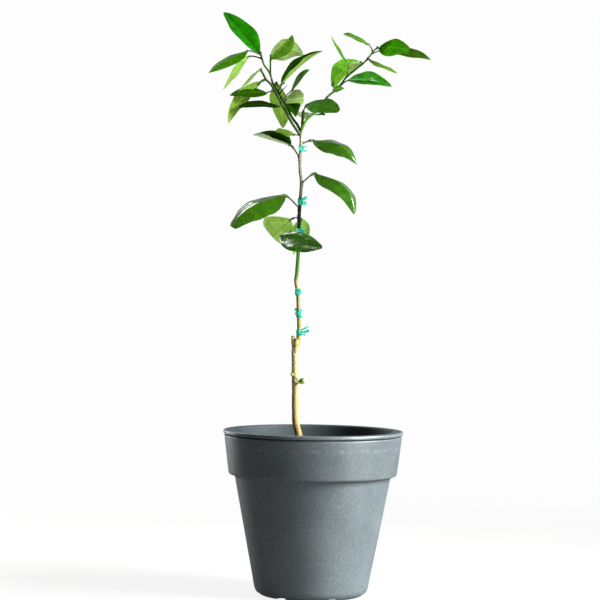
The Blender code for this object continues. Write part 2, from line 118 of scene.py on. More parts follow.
def wear(made, colour, height=None, strength=0.0, depth=0.0):
    """Link a colour, and a bump of this strength and depth in mm from a height, to a material's shader."""
    tree = made.node_tree
    shader = tree.nodes["Principled BSDF"]
    if colour:
        tree.links.new(colour, shader.inputs["Base Color"])
    if height:
        bump = node(tree, "Bump", {"Strength": strength, "Distance": depth * MM, "Height": height})
        tree.links.new(bump.outputs[0], shader.inputs["Normal"])
    return made


def grained(name, colour, roughness, grain_mm, detail, stops, bump=(), rough=0.5, **look):
    """A finish whose colour runs through the stops by noise of this grain, as does its bump, if any."""
    made, tree, at = finish(name, colour, roughness, **look)
    sizes = {"Scale": 1 / (grain_mm * MM), "Detail": detail, "Roughness": rough}
    grain = node(tree, "TexNoise", {"Vector": at, **sizes})
    shade = node(tree, "ValToRGB", {"Fac": grain}, stops)
    return wear(made, shade.outputs["Color"], grain if bump else None, *bump)


print("slate grey in linear light:", [round(v, 3) for v in linear("#5b6467")])

# %% [markdown]
# ## Light
# The set is a white sweep. A big dish lamp high on the right is the key: it makes the pot's right
# side the bright one and puts white glare on the glossy leaves. A softbox low on the right fills
# the pot, one high at the back and a strip at the back left draw its edges, and two small dishes
# light the crown from below and from the left. The sweep behind the object is bright and the room
# in front of it is dark, so the world is bright towards +Y and dim towards -Y.

# %% World
SWEEP_BACK, SWEEP_FRONT, SWEEP_BOUNCE, SWEEP_SEEN = 0.55, 0.07, 0.12, 0.985
world = bpy.data.worlds.new("white sweep")
bpy.context.scene.world = world
world.use_nodes = True
tree = world.node_tree
tree.nodes.clear()
facing = node(tree, "SeparateXYZ", {0: node(tree, "TexCoord", {}).outputs["Generated"]}).outputs
behind = node(tree, "MapRange", {0: facing["Y"], 1: 0.1, 2: 0.9, 3: SWEEP_FRONT, 4: SWEEP_BACK})
overhead = node(tree, "MapRange", {0: facing["Z"], 1: 0.5, 2: 0.85, 3: 1.0, 4: 0.35})
lit = node(tree, "Math", {0: behind, 1: overhead}, operation="MULTIPLY")
seen = node(tree, "LightPath", {}).outputs["Is Camera Ray"]
strength = node(tree, "Mix", {"Factor": seen, 2: lit, 3: SWEEP_SEEN}, data_type="FLOAT")
glow = node(tree, "Background", {"Color": (1, 1, 1, 1), "Strength": strength})
node(tree, "OutputWorld", {"Surface": glow})
print("world strength behind and in front:", SWEEP_BACK, SWEEP_FRONT)


# %% Lamps
def lamp(name, kind, place, aim, power):
    """A lamp of this kind and power in watts at place, turned to face aim."""
    made = bpy.data.objects.new(name, bpy.data.lights.new(name, kind))
    made.data.energy = power
    made.location = place
    ahead = np.array(aim) - np.array(place)
    flat = math.hypot(ahead[0], ahead[1])
    made.rotation_euler = (math.atan2(flat, -ahead[2]), 0, math.atan2(ahead[1], ahead[0]) - math.pi / 2)
    bpy.context.scene.collection.objects.link(made)
    return made.data


def softbox(name, place, aim, size, power):
    """A rectangular area lamp of size (width, height) in metres."""
    light = lamp(name, "AREA", place, aim, power)
    light.shape = "RECTANGLE"
    light.size, light.size_y = size


def dish(name, place, aim, cone, power, radius):
    """A round lamp of this radius in metres, its light in a cone of so many degrees, faded to its edge."""
    light = lamp(name, "SPOT", place, aim, power)
    light.spot_size = math.radians(cone)
    light.spot_blend = 1.0
    light.shadow_soft_size = radius


dish("key_dish", (1.65, -0.5, 1.1), (0, 0, 0.08), 58, 560, 0.5)
softbox("low_softbox", (1.3, -0.95, 0.2), (0, 0, 0.12), (0.5, 0.35), 11)
softbox("back_softbox", (-0.85, 1.0, 1.8), (0, 0, 0.55), (0.9, 0.45), 11)
softbox("left_strip", (-1.2, 1.3, 0.5), (0, 0, 0.3), (0.25, 1.0), 10)
dish("crown_fill", (-0.1, -1.4, 0.06), (-0.02, 0, 0.72), 40, 95, 0.2)
dish("crown_left", (-1.4, -0.75, 0.45), (-0.02, 0, 0.76), 28, 125, 0.2)
print("lamps:", len(bpy.data.lights))

# %% [markdown]
# ## Floor
# The floor is the same white sweep. A painted floor that only bounced the lamps would come out
# grey here and show a horizon, so most of its white is its own glow, and a small matt share is
# left to take the soft shadow round the pot's feet.

# %% Floor
FLOOR_R, FLOOR_SIDES = 9, 96


def unit_circle(turn):
    """Points (cos a, sin a, 0) at these angles."""
    return np.column_stack([np.cos(turn), np.sin(turn), 0 * turn])


floor_paint = bpy.data.materials.new("matt white sweep")
floor_paint.use_nodes = True
tree = floor_paint.node_tree
tree.nodes.clear()
paint = node(tree, "BsdfDiffuse", {"Color": linear("#f4f2ee")})
seen = node(tree, "LightPath", {}).outputs["Is Camera Ray"]
glow = node(tree, "Mix", {"Factor": seen, 2: SWEEP_BOUNCE, 3: SWEEP_SEEN}, data_type="FLOAT")
shine = node(tree, "Emission", {"Color": (1, 1, 1, 1), "Strength": glow})
here = node(tree, "TexCoord", {}).outputs["Object"]
reach = node(tree, "VectorMath", {0: here}, operation="LENGTH").outputs["Value"]
far = node(tree, "MapRange", {0: reach, 1: 0.3, 2: 1.6, 3: 0.87, 4: 1.0}, interpolation_type="SMOOTHSTEP")
share = node(tree, "MixShader", {0: far, 1: paint, 2: shine})
node(tree, "OutputMaterial", {"Surface": share})
turn = np.linspace(0, 2 * np.pi, FLOOR_SIDES, endpoint=False)
sweep = bpy.data.meshes.new("floor")
sweep.from_pydata((FLOOR_R * unit_circle(turn)).tolist(), [], [list(range(FLOOR_SIDES))])
sweep.materials.append(floor_paint)
floor = bpy.data.objects.new("floor", sweep)
bpy.context.scene.collection.objects.link(floor)
print("floor across, m:", 2 * FLOOR_R)

# %% [markdown]
# ## From arrays to a piece
# Nearly everything on this plant is a ring of points carried along a line: a pot's outline is
# carried round, a stem's ring is carried up, and a leaf is a very flat ring carried from its
# stalk to its tip. So one function turns a stack of rings into faces, with a point closing
# each end, and one function joins such shapes into a single mesh and hands it to the frame.


# %% Rings into faces, faces into a piece
def loft(rings, start, end, worn=0, uv=None, uv_ends=None):
    """Closed shape from rings (rows, columns, 3), anticlockwise seen from the end, and two end points.

    Quad (i, k) joins rings i and i + 1 between columns k and k + 1, and the last column meets the first.
    worn is the number of the finish, one for all or one for each column."""
    rows, columns = rings.shape[:2]
    index = np.arange(rows * columns).reshape(rows, columns)
    after = np.roll(index, -1, axis=1)
    near = np.stack([np.full(columns, index.size), after[0], index[0]], axis=-1)
    far = np.stack([np.full(columns, index.size + 1), index[-1], after[-1]], axis=-1)
    points = np.vstack([rings.reshape(-1, 3), start, end])
    worn = np.broadcast_to(worn, columns)
    return {
        "points": points,
        "quads": np.stack([index[:-1], after[:-1], after[1:], index[1:]], axis=-1).reshape(-1, 4),
        "tris": np.vstack([near, far]),
        "uv": np.zeros((len(points), 2)) if uv is None else np.vstack([uv.reshape(-1, 2), *uv_ends]),
        "worn_quads": np.tile(worn, rows - 1),
        "worn_tris": np.tile(worn, 2),
    }


def joined(shapes):
    """Several shapes as one: the corner numbers of each are raised by the points before it."""
    shifts = np.cumsum([0] + [len(shape["points"]) for shape in shapes])
    raised = [{**s, "quads": s["quads"] + n, "tris": s["tris"] + n} for s, n in zip(shapes, shifts)]
    return {key: np.concatenate([shape[key] for shape in raised]) for key in raised[0]}


def piece(name, shapes, finishes, stands_for, sharp=None):
    """One mesh from shapes in millimetres, riding on the frame in place of the solids it stands for."""
    whole = joined(shapes)
    quads, tris = whole["quads"], whole["tris"]
    corners = np.concatenate([quads.ravel(), tris.ravel()]).astype(np.int32)
    counts = np.repeat([4, 3], [len(quads), len(tris)])
    worn = np.concatenate([whole["worn_quads"], whole["worn_tris"]])
    mesh = bpy.data.meshes.new(name)
    mesh.vertices.add(len(whole["points"]))
    mesh.vertices.foreach_set("co", (whole["points"] * MM).astype(np.float32).ravel())
    mesh.loops.add(len(corners))
    mesh.loops.foreach_set("vertex_index", corners)
    mesh.polygons.add(len(counts))
    mesh.polygons.foreach_set("loop_start", (np.cumsum(counts) - counts).astype(np.int32))
    mesh.polygons.foreach_set("material_index", worn.astype(np.int32))
    mesh.uv_layers.new(name="in_mm").data.foreach_set("uv", whole["uv"][corners].astype(np.float32).ravel())
    mesh.update(calc_edges=True)
    mesh.validate()
    for worn_finish in finishes:
        mesh.materials.append(worn_finish)
    mesh.shade_smooth()
    if sharp:
        mesh.set_sharp_from_angle(angle=math.radians(sharp))
    made = bpy.data.objects.new(name, mesh)
    bpy.context.scene.collection.objects.link(made)
    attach(made, "root")
    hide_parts(*stands_for)
    print(f"{name}: {2 * len(quads) + len(tris)} triangles")
    return made


def angles(count):
    """That many angles, evenly round a turn from 0."""
    return np.arange(count) * 2 * np.pi / count


def turned(outline, count):
    """Rings of an outline of (r, z) turned about Z: (r cos a, r sin a, z) at each angle a."""
    r, z, around = outline[:, :1], outline[:, 1:], angles(count)
    return np.stack([r * np.cos(around), r * np.sin(around), z + 0 * around], axis=-1)


HASH = (73856093, 19349663, 83492791, 40503)  # large numbers that scatter neighbouring corners
MIX, LIFT, STIR, LOW_BITS = 739981, 12345, 1274126177, 0xFFFFFFFF


def smooth_noise(places, cell, seed=0):
    """Noise from -1 to 1: a random value at each corner of cubes this wide, blended by 3t^2 - 2t^3."""
    low = np.floor(places / cell).astype(np.int64)
    t = places / cell - low
    t = t * t * (3 - 2 * t)
    total = np.zeros(places.shape[:-1])
    for corner in range(8):
        step = np.array([corner & 1, corner >> 1 & 1, corner >> 2 & 1])
        x, y, z = np.moveaxis(low + step, -1, 0)
        mixed = (x * HASH[0] ^ y * HASH[1] ^ z * HASH[2] ^ (seed + 1) * HASH[3]) & LOW_BITS
        mixed = ((mixed ^ mixed >> 15) * MIX + LIFT) & LOW_BITS
        mixed = ((mixed ^ mixed >> 13) * STIR) & LOW_BITS
        value = (mixed ^ mixed >> 16) % 65536 / 32767.5 - 1
        total += value * np.prod(np.where(step == 1, t, 1 - t), axis=-1)
    return total


check = smooth_noise(np.random.default_rng(1).uniform(0, 90, (4000, 3)), 5.0)
print("noise runs from", round(check.min(), 2), "to", round(check.max(), 2))

# %% [markdown]
# ## The pot's plastic
# Such pots are polypropylene with ground stone in it, moulded against sand-blasted steel. The
# mould gives an even, sandy grain with no gloss, and the filler shows as pale and dark specks. The
# band is darkened by painted shade, and a faint pale line on it is a painted highlight. The real
# grain is about 0.4 mm, finer than the render can hold, so it is drawn at 1.8 mm.

# %% Slate grey stone-filled polypropylene, sand-blasted mould grain
POT_GRAIN_MM, POT_CLOUD_MM, HIGHLIGHT_NOISE_MM = 1.8, 55, 6
HIGHLIGHT_Z_MM, HIGHLIGHT_HALF_MM = 207.5, 2.2
BAND_SHADE_Z_MM = (162.0, 172.0)


def pot_finish(name, shades, roughness=0.44, gloss=0.5):
    """Grainy plastic: fine noise picks between three hex codes, and clouds lift or drop them by a tenth.

    The band is darker by a seventh, a painted shade, and a pale line along it is a painted highlight."""
    made, tree, at = finish(name, shades[1], roughness, ior=1.8, gloss=gloss)
    size = {"Scale": 1 / (POT_GRAIN_MM * MM), "Detail": 2.5, "Roughness": 0.6}
    grain = node(tree, "TexNoise", {"Vector": at, **size})
    cloud = node(tree, "TexNoise", {"Vector": at, "Scale": 1 / (POT_CLOUD_MM * MM), "Detail": 3.0})
    highlight_noise = node(tree, "TexNoise", {"Vector": at, "Scale": 1 / (HIGHLIGHT_NOISE_MM * MM), "Detail": 3.0})
    speckle = node(tree, "ValToRGB", {"Fac": grain}, zip((0.32, 0.52, 0.7), shades))
    height = node(tree, "SeparateXYZ", {0: at}).outputs["Z"]
    # Above the band's foot the colour is a seventh darker: painted shade.
    band_shade = node(tree, "MapRange", {0: height, 1: BAND_SHADE_Z_MM[0] * MM, 2: BAND_SHADE_Z_MM[1] * MM, 3: 1.0, 4: 0.86})
    patch = node(tree, "MapRange", {0: cloud, 1: 0.35, 2: 0.65, 3: 0.88, 4: 1.1})
    depth = node(tree, "Math", {0: patch, 1: band_shade}, operation="MULTIPLY")
    cloudy = node(tree, "Mix", {"Factor": 1.0, 6: speckle, 7: depth}, **TIMES).outputs[2]
    # A pale line round the band at one height, broken by noise, is a painted highlight.
    on_line = node(tree, "Math", {0: height, 1: HIGHLIGHT_Z_MM * MM, 2: HIGHLIGHT_HALF_MM * MM}, operation="COMPARE")
    highlight_share = node(tree, "MapRange", {0: highlight_noise, 1: 0.5, 2: 0.68, 3: 0.0, 4: 0.3})
    shown = node(tree, "Math", {0: on_line, 1: highlight_share}, operation="MULTIPLY")
    worn = node(tree, "Mix", {"Factor": shown, 6: cloudy, 7: linear("#a4adb0")}, data_type="RGBA")
    return wear(made, worn.outputs[2], grain, 0.5, 0.25)


pot_plastic = pot_finish("stone-filled polypropylene, slate grey", ("#4b575b", "#5f6a6e", "#737e82"))
# The inside is painted darker than the outside: painted shade.
inside_shade_codes = ("#2e383c", "#3b464a", "#495458")
pot_inside = pot_finish("stone-filled polypropylene, inside, painted shade", inside_shade_codes, 0.65, 0.15)
print("pot grain drawn at", POT_GRAIN_MM, "mm")

# %% [markdown]
# ## The pot
# The pot is a turned shape: a foot ring cut by six notches that let water away, a tapered wall, a
# deep band at the top, and a rolled bead at the rim. Worked out as an array, each corner of its
# outline has its own fillet, and the notches are one more term in the height.

# %% The pot's outline
POT_RIM_R, POT_LIP_R, POT_TOP_Z = 126.0, 111.0, 229.0
BAND_LOW_Z, BAND_LOW_R = 166.0, 117.8
BODY_TOP_R, BODY_LOW_R, BODY_LOW_Z = 109.4, 78.8, 5.0
FOOT_R, FOOT_INNER_R, WALL, FLOOR_TOP_Z = 72.0, 58.0, 3.6, 9.0
SLOPE = (BODY_TOP_R - BODY_LOW_R) / (BAND_LOW_Z - BODY_LOW_Z)
floor_r = BODY_LOW_R + SLOPE * (FLOOR_TOP_Z - BODY_LOW_Z) - WALL
groove_r, bead_r, lip_z = POT_RIM_R - 3.2, POT_RIM_R - 0.1, POT_TOP_Z - 0.1
pot_corners = [  # radius, height, fillet
    (6, 0, 0), (24, 0, 0.8), (26, 2.4, 0.8), (FOOT_INNER_R - 2, 2.4, 1.0), (FOOT_INNER_R, 0, 0.8),
    (FOOT_R, 0, 1.2), (FOOT_R + 1.2, 2.8, 0.8), (BODY_LOW_R - 2.4, 3.0, 1.6),
    (BODY_LOW_R + SLOPE * 3, BODY_LOW_Z + 3, 2.6), (BODY_TOP_R, BAND_LOW_Z - 0.2, 2.2),
    (BODY_TOP_R + 1.4, BAND_LOW_Z + 0.9, 0.4), (BAND_LOW_R - 0.2, BAND_LOW_Z + 0.9, 3.2),
    (POT_RIM_R - 1.5, POT_TOP_Z - 7.4, 1.0), (groove_r, POT_TOP_Z - 6.6, 0.5),
    (groove_r, POT_TOP_Z - 5.4, 0.5), (bead_r, POT_TOP_Z - 4.9, 1.2), (bead_r, lip_z, 2.3),
    (POT_LIP_R, lip_z, 2.0), (POT_LIP_R - 0.8, POT_TOP_Z - 12, 3.0),
    (BODY_TOP_R - WALL + 0.6, BAND_LOW_Z + 4, 3.0), (floor_r, FLOOR_TOP_Z, 5.0), (6, FLOOR_TOP_Z, 0),
]


def walked(outline, end, step):
    """The outline and the points that lead on from it towards end, about step apart, without end itself."""
    way = end - outline[-1]
    runs = max(1, round(float(np.linalg.norm(way)) / step))
    return np.vstack([outline, outline[-1] + way * np.linspace(0, 1, runs + 1)[1:-1, None]])


FILLET_POINTS, FILLET_REACH = 7, 0.48


def rounded(corners, step=3.0):
    """Outline past the corners. A fillet runs from p to q: (1-t)^2 p + 2t(1-t) corner + t^2 q."""
    at = np.array([corner[:2] for corner in corners], float)
    outline = at[:1]
    t = np.linspace(0, 1, FILLET_POINTS)[:, None]
    for before, corner, after, (_, _, cut) in zip(at, at[1:], at[2:], corners[1:]):
        back, on = before - corner, after - corner
        p, q = (corner + way * min(cut / np.linalg.norm(way), FILLET_REACH) for way in (back, on))
        fillet = (1 - t) ** 2 * p + 2 * t * (1 - t) * corner + t**2 * q
        outline = np.vstack([walked(outline, p, step), fillet])
    return np.vstack([walked(outline, at[-1], step), at[-1]])


pot_outline = rounded(pot_corners)
print("points down the pot's outline:", len(pot_outline))

# %% Turn the outline, with notches under the foot
FOOT_NOTCHES, NOTCH_WIDTH, NOTCH_EDGE, NOTCH_HEIGHT = 6, 13.0, 1.8, 2.5
FIRST_NOTCH_TURN, FOOT_MID_R, POT_TURNS = math.radians(-65), 65, 288
pitch = 2 * np.pi / FOOT_NOTCHES
pot_rings = turned(pot_outline, POT_TURNS)
off_notch = (angles(POT_TURNS) - FIRST_NOTCH_TURN + pitch / 2) % pitch - pitch / 2
in_notch = np.clip((NOTCH_WIDTH / 2 + NOTCH_EDGE / 2 - np.abs(off_notch) * FOOT_MID_R) / NOTCH_EDGE, 0, 1)
r, z = pot_outline[:, :1], pot_outline[:, 1:]
on_foot = ((r > FOOT_INNER_R - 1.9) & (r < FOOT_R + 1.5) & (z < 2.6)).astype(float)
pot_rings[..., 2] = np.maximum(z, on_foot * in_notch * NOTCH_HEIGHT)
pot_shape = loft(pot_rings, (0, 0, 0), (0, 0, FLOOR_TOP_Z))
pot = piece("pot_shell", [pot_shape], [pot_plastic], ["pot"], sharp=50)

# %% [markdown]
# Water leaves through six round holes in the floor. A hole is not a term in a height, so it is
# drilled: a mesh of six closed cylinders is taken from the pot by a Boolean, and the result is
# kept as the pot's own mesh.

# %% Drill the drain holes
DRAIN_HOLES, DRAIN_RING_R, DRAIN_R = 6, 45.0, 5.0
DRILL_Z, DRILL_SIDES = (-4, 14), 32
drills = []
for turn in (np.arange(DRAIN_HOLES) + 0.5) * 2 * np.pi / DRAIN_HOLES:
    centre = DRAIN_RING_R * unit_circle(turn)[0]
    low, top = (centre + (0, 0, z) for z in DRILL_Z)
    circle = DRAIN_R * unit_circle(angles(DRILL_SIDES))
    drills.append(loft(np.stack([low + circle, top + circle]), low, top))
drills = joined(drills)
drill = bpy.data.meshes.new("drill")
drill.from_pydata(drills["points"] * MM, [], drills["quads"].tolist() + drills["tris"].tolist())
bit = bpy.data.objects.new("drill", drill)
bpy.context.scene.collection.objects.link(bit)
cut = pot.modifiers.new("drain holes", "BOOLEAN")
cut.operation, cut.solver, cut.object = "DIFFERENCE", "EXACT", bit
drilled = bpy.data.meshes.new_from_object(pot.evaluated_get(bpy.context.evaluated_depsgraph_get()))
pot.modifiers.clear()
pot.data = drilled
bpy.data.objects.remove(bit, do_unlink=True)
print("pot after drilling:", len(drilled.polygons), "faces")

# %% [markdown]
# The wall inside the pot gets a darker, less glossy copy of the plastic; its darkness is painted
# shade. The faces inside are found by place: nearer to the axis than the outer wall is at their height.

# %% Give the inside its own finish
WALL_HEIGHTS = (BODY_LOW_Z, BAND_LOW_Z, BAND_LOW_Z + 1, POT_TOP_Z)
centres = np.empty(len(drilled.polygons) * 3)
drilled.polygons.foreach_get("center", centres)
x, y, z = centres.reshape(-1, 3).T / MM
outer_r = np.interp(z, WALL_HEIGHTS, (BODY_LOW_R, BODY_TOP_R, BAND_LOW_R, POT_RIM_R))
inside = (np.hypot(x, y) < outer_r - WALL / 2) & (z > FLOOR_TOP_Z - 0.5)
drilled.materials.append(pot_inside)
drilled.polygons.foreach_set("material_index", inside.astype(np.int32))
print("faces inside:", int(inside.sum()))

# %% [markdown]
# ## Potting mix
# Nursery mix is composted bark and peat with a little perlite. Up close it is a heap of crumbs of
# 1 to 4 mm, and dark because it is damp. Its surface is a turned outline whose height takes two
# sizes of noise, and loose chips and perlite beads are strewn on it.

# %% Damp bark and peat, crumbly
peat = [(0.35, "#17110c"), (0.72, "#5a4632")]
potting_mix = grained("damp composted bark and peat", "#2d231a", 0.93, 2.2, 4.0, peat, (0.9, 0.8), 0.7)
# Bark milled to chips is rough, and runs from dark to warm brown.
bark_chip = grained("pine bark chips", "#5b4029", 0.85, 1.5, 3.0, [(0.35, "#3a2718"), (0.68, "#7c5b3c")])
# Perlite is volcanic glass puffed up by heat: off-white and matt, with open pores that show as pits.
perlite, tree, at = finish("expanded perlite", "#d9d5cb", 0.9)
pore = node(tree, "TexVoronoi", {"Vector": at, "Scale": 1 / (0.6 * MM)})
wear(perlite, None, pore, 0.6, 0.2)
print("crumbs drawn at 2.2 mm")

# %% The heap
SOIL_TOP_Z, SOIL_EDGE_DROP, SOIL_SINK, SOIL_TURNS, GAP = 204.0, 5.0, 1.2, 220, 0.3
clear = WALL + GAP * 1.4
soil_low_r = floor_r + WALL - clear
soil_band_r = BODY_TOP_R - clear + 0.6
lift_share = (SOIL_TOP_Z - SOIL_EDGE_DROP - BAND_LOW_Z - 4) / (POT_TOP_Z - 1.6 - BAND_LOW_Z - 4)
soil_edge_r = soil_band_r + (POT_LIP_R - 0.5 - soil_band_r) * lift_share - 0.4
lower = [(3, FLOOR_TOP_Z + GAP, 0), (soil_low_r, FLOOR_TOP_Z + GAP, 5), (soil_band_r, BAND_LOW_Z + 4, 3)]
side_run = rounded(lower + [(soil_edge_r, SOIL_TOP_Z - SOIL_EDGE_DROP, 0)], step=8)
top_r = np.linspace(soil_edge_r, 0, 70)[1:-1]


def heap_height(radius):
    """Height of the mix: level, then falling as the square of the way out over the radius's outer 45%."""
    outer = np.clip((radius / soil_edge_r - 0.55) / 0.45, 0, 1)
    return SOIL_TOP_Z - SOIL_SINK - (SOIL_EDGE_DROP - SOIL_SINK) * outer**2


heap = np.vstack([side_run, np.column_stack([top_r, heap_height(top_r)])])
soil_rings = turned(heap, SOIL_TURNS)
on_top = np.arange(len(heap)) >= len(side_run)
loose = np.clip(on_top * (soil_edge_r - heap[:, 0]) / 3, 0, 1)[:, None]
crumbs = 1.3 * smooth_noise(soil_rings, 7.0, 3) + 1.0 * np.abs(smooth_noise(soil_rings, 3.2, 4)) - 0.6
soil_rings[..., 2] += loose * np.minimum(crumbs, 1.1)
soil_shape = loft(soil_rings, (0, 0, FLOOR_TOP_Z + GAP), (0, 0, SOIL_TOP_Z - SOIL_SINK))
piece("potting_mix", [soil_shape], [potting_mix], ["soil"])


# %% Chips and beads on the heap
def pebbles(centres, sizes, seed, rough):
    """Small closed lumps, one per centre: rings of a sphere, x = s cos a sin b, pushed out or in by noise."""
    a, b = angles(7), np.array([0.28, 0.5, 0.74])[:, None] * np.pi
    ball = np.stack([np.sin(b) * np.cos(a), np.sin(b) * np.sin(a), -np.cos(b) + 0 * a], axis=-1)
    shapes = []
    for number, (centre, size) in enumerate(zip(centres, sizes)):
        push = 1 + rough * smooth_noise(ball * 1.7 + 13.0 * number, 1.0, seed)[..., None]
        low, top = centre - (0, 0, size[2]), centre + (0, 0, size[2])
        shapes.append(loft(ball * push * size + centre, low, top))
    return shapes


STEM_FOOT_X, STEM_CLEAR_R, BIGGEST_LUMP = -19.5, 11, 4.5
rng = np.random.default_rng(11)


def strewn(count, low, high, flat):
    """Random places on the heap, even over its area, with sizes between low and high millimetres."""
    radius = np.sqrt(rng.uniform(0.004, 0.86, count)) * soil_edge_r
    turn = rng.uniform(0, 2 * np.pi, count)
    lengths = rng.uniform(low, high, (count, 1))
    sizes = lengths * np.column_stack([rng.uniform(0.7, 1.5, (count, 2)), np.full(count, flat)])
    x, y = radius * np.cos(turn), radius * np.sin(turn)
    keep = np.hypot(x - STEM_FOOT_X, y) > STEM_CLEAR_R
    places = np.column_stack([x, y, heap_height(radius) + 0.3])
    return places[keep], np.minimum(sizes[keep], BIGGEST_LUMP)


chips = pebbles(*strewn(420, low=0.9, high=2.4, flat=0.45), seed=5, rough=0.35)
beads = pebbles(*strewn(110, low=0.5, high=1.2, flat=0.8), seed=8, rough=0.2)
piece("bark_chips", chips, [bark_chip], ["soil"], sharp=35)
piece("perlite_beads", beads, [perlite], ["soil"])

# %% [markdown]
# ## Lines that the plant follows
# The stem, its graft and the boughs are lines through a few named points, in millimetres, with
# +Z up. A Catmull-Rom curve passes through each point and leaves it in the direction of its
# neighbours, which is how a shoot that grew in spurts bends. The same lines shaped the solids.

# %% The plant's lines and thicknesses
ROOTSTOCK = [
    (-19.5, 0, 204.3), (-19.8, 0, 218), (-22, 0, 229), (-24.7, 0, 240), (-25.7, 0, 257),
    (-26, 0, 285), (-26.9, 0, 313), (-27.8, 0, 338), (-28.4, 0, 350),
]
ROOTSTOCK_RADII = {204: 6.4, 212: 5.4, 232: 4.9, 300: 4.9, 340: 4.5, 350: 3.6}
HORN = [(-28.2, 0, 340), (-29.4, 0, 351), (-30.8, 0.4, 360.5)]
HORN_RADII = {340: 3.7, 350: 3.3, 356: 2.9, 361: 2.5}
CALLUS = [(-26.6, -1.4, 338), (-25.9, -2.0, 348), (-25.5, -2.0, 357)]
CALLUS_RADII = {338: 3.8, 348: 3.6, 354: 3.1, 357: 2.3}
SCION = [
    (-25.6, 0, 338), (-23.6, 0, 350), (-22.5, 0, 362), (-22.2, 0, 376), (-23.2, 0, 398), (-24, 0, 416),
    (-25.8, 0, 429), (-27.4, 0, 437.5), (-26.6, 0, 445), (-25.6, 0, 460), (-24.8, 0, 478), (-24.3, 0, 510),
    (-24.1, 0, 530), (-23.2, 0, 548), (-22.3, 0, 564), (-21.9, 0, 577), (-24, 0, 595), (-24.3, 0, 612),
    (-23.4, 0, 626), (-23, 0, 640), (-22.4, 0, 650), (-21.9, 0, 657),
]
SCION_RADII = {338: 2.2, 348: 3.4, 356: 3.1, 372: 2.7, 437: 2.8, 530: 2.4, 600: 2.1, 640: 1.9, 657: 1.5}
BOUGHS = {
    "left": [
        (-25.5, -2, 643), (-38, -8, 661), (-45, -13, 674), (-53, -19, 687), (-62, -24, 703),
        (-67, -27, 710.5), (-73, -29, 716), (-78, -31, 725), (-82, -32, 730),
    ],
    "middle": [
        (-24, 2, 648), (-29, 5, 657.5), (-36, 9, 667), (-41.5, 13, 678.5), (-49.5, 18, 691.5),
        (-56, 21, 703), (-64, 23, 716), (-68, 22, 729), (-72, 20, 735.5), (-77, 17, 742),
        (-80, 14, 751), (-81.5, 12, 758),
    ],
    "top_shoot": [(-68, 22, 729), (-68, 24, 740), (-68, 26, 750)],
    "right": [
        (-22.4, -1, 650), (-16.6, -1, 662), (-10, -2, 669), (-1.5, -4, 675), (5.5, -7, 681.5),
        (12, -11, 694), (22.5, -14, 703), (31, -16, 711.5), (39.5, -16, 723), (60, -10, 741),
        (67, -7, 748), (77, 0, 761.5), (81, 3, 765.5),
    ],
    "fork_shoot": [(-21.9, 0, 657.3), (-21.3, 1.5, 666), (-20.8, 2, 676)],
}
BOUGH_RADII = {640: 1.95, 690: 1.7, 740: 1.3, 770: 1.0}
BOUGH_ENDS = {"left": 696.0, "middle": 724.0, "right": 696.0}
THORN_Z, THORN_AIM, THORN_LENGTH = 701.5, (-30, 43), 19.0


def smooth_route(points, step=9.0):
    """Catmull-Rom curve read about every step mm.

    Between b and c it is (2b + (c-a)t + (2a-5b+4c-d)t^2 + (3b-a-3c+d)t^3) / 2."""
    p = np.array(points, float)
    p = np.vstack([2 * p[0] - p[1], p, 2 * p[-1] - p[-2]])
    runs = []
    for a, b, c, d in zip(p, p[1:], p[2:], p[3:]):
        t = np.arange(0, 1, 1 / max(1, round(float(np.linalg.norm(c - b)) / step)))[:, None]
        square, cube = (2 * a - 5 * b + 4 * c - d) * t**2, (3 * b - a - 3 * c + d) * t**3
        runs.append((2 * b + (c - a) * t + square + cube) / 2)
    return np.vstack([*runs, p[-2]])


def at_height(route, height):
    """The point of a rising route at a height, read between its points."""
    return np.stack([np.interp(height, route[:, 2], route[:, axis]) for axis in range(3)], axis=-1)


def radii_at(heights, named):
    """Radius at each height, read between the named ones, which rise."""
    return np.interp(heights, list(named), list(named.values()))


def direction(heading, rise):
    """Unit vector with this heading, anticlockwise from +X seen from above, and this rise, in degrees."""
    h, up = np.radians(heading), np.radians(rise)
    return np.array([np.cos(up) * np.cos(h), np.cos(up) * np.sin(h), np.sin(up)])


routes = {name: smooth_route(points, 3) for name, points in {"scion": SCION, **BOUGHS}.items()}
print("stem rises from", ROOTSTOCK[0][2], "to", SCION[-1][2], "mm")

# %% [markdown]
# ## The leaves' places
# Each leaf is named, because each hangs its own way. Its row holds its carrier and the height
# where it leaves it, a stalk's length, heading and rise, a blade's length, width, heading, rise
# and roll about its midrib, and a bend: how far it arches for its length, the angle by which
# its halves are folded up, and how far it sweeps sideways. Last come the names of its upper and
# under finish, which a later lesson mixes.

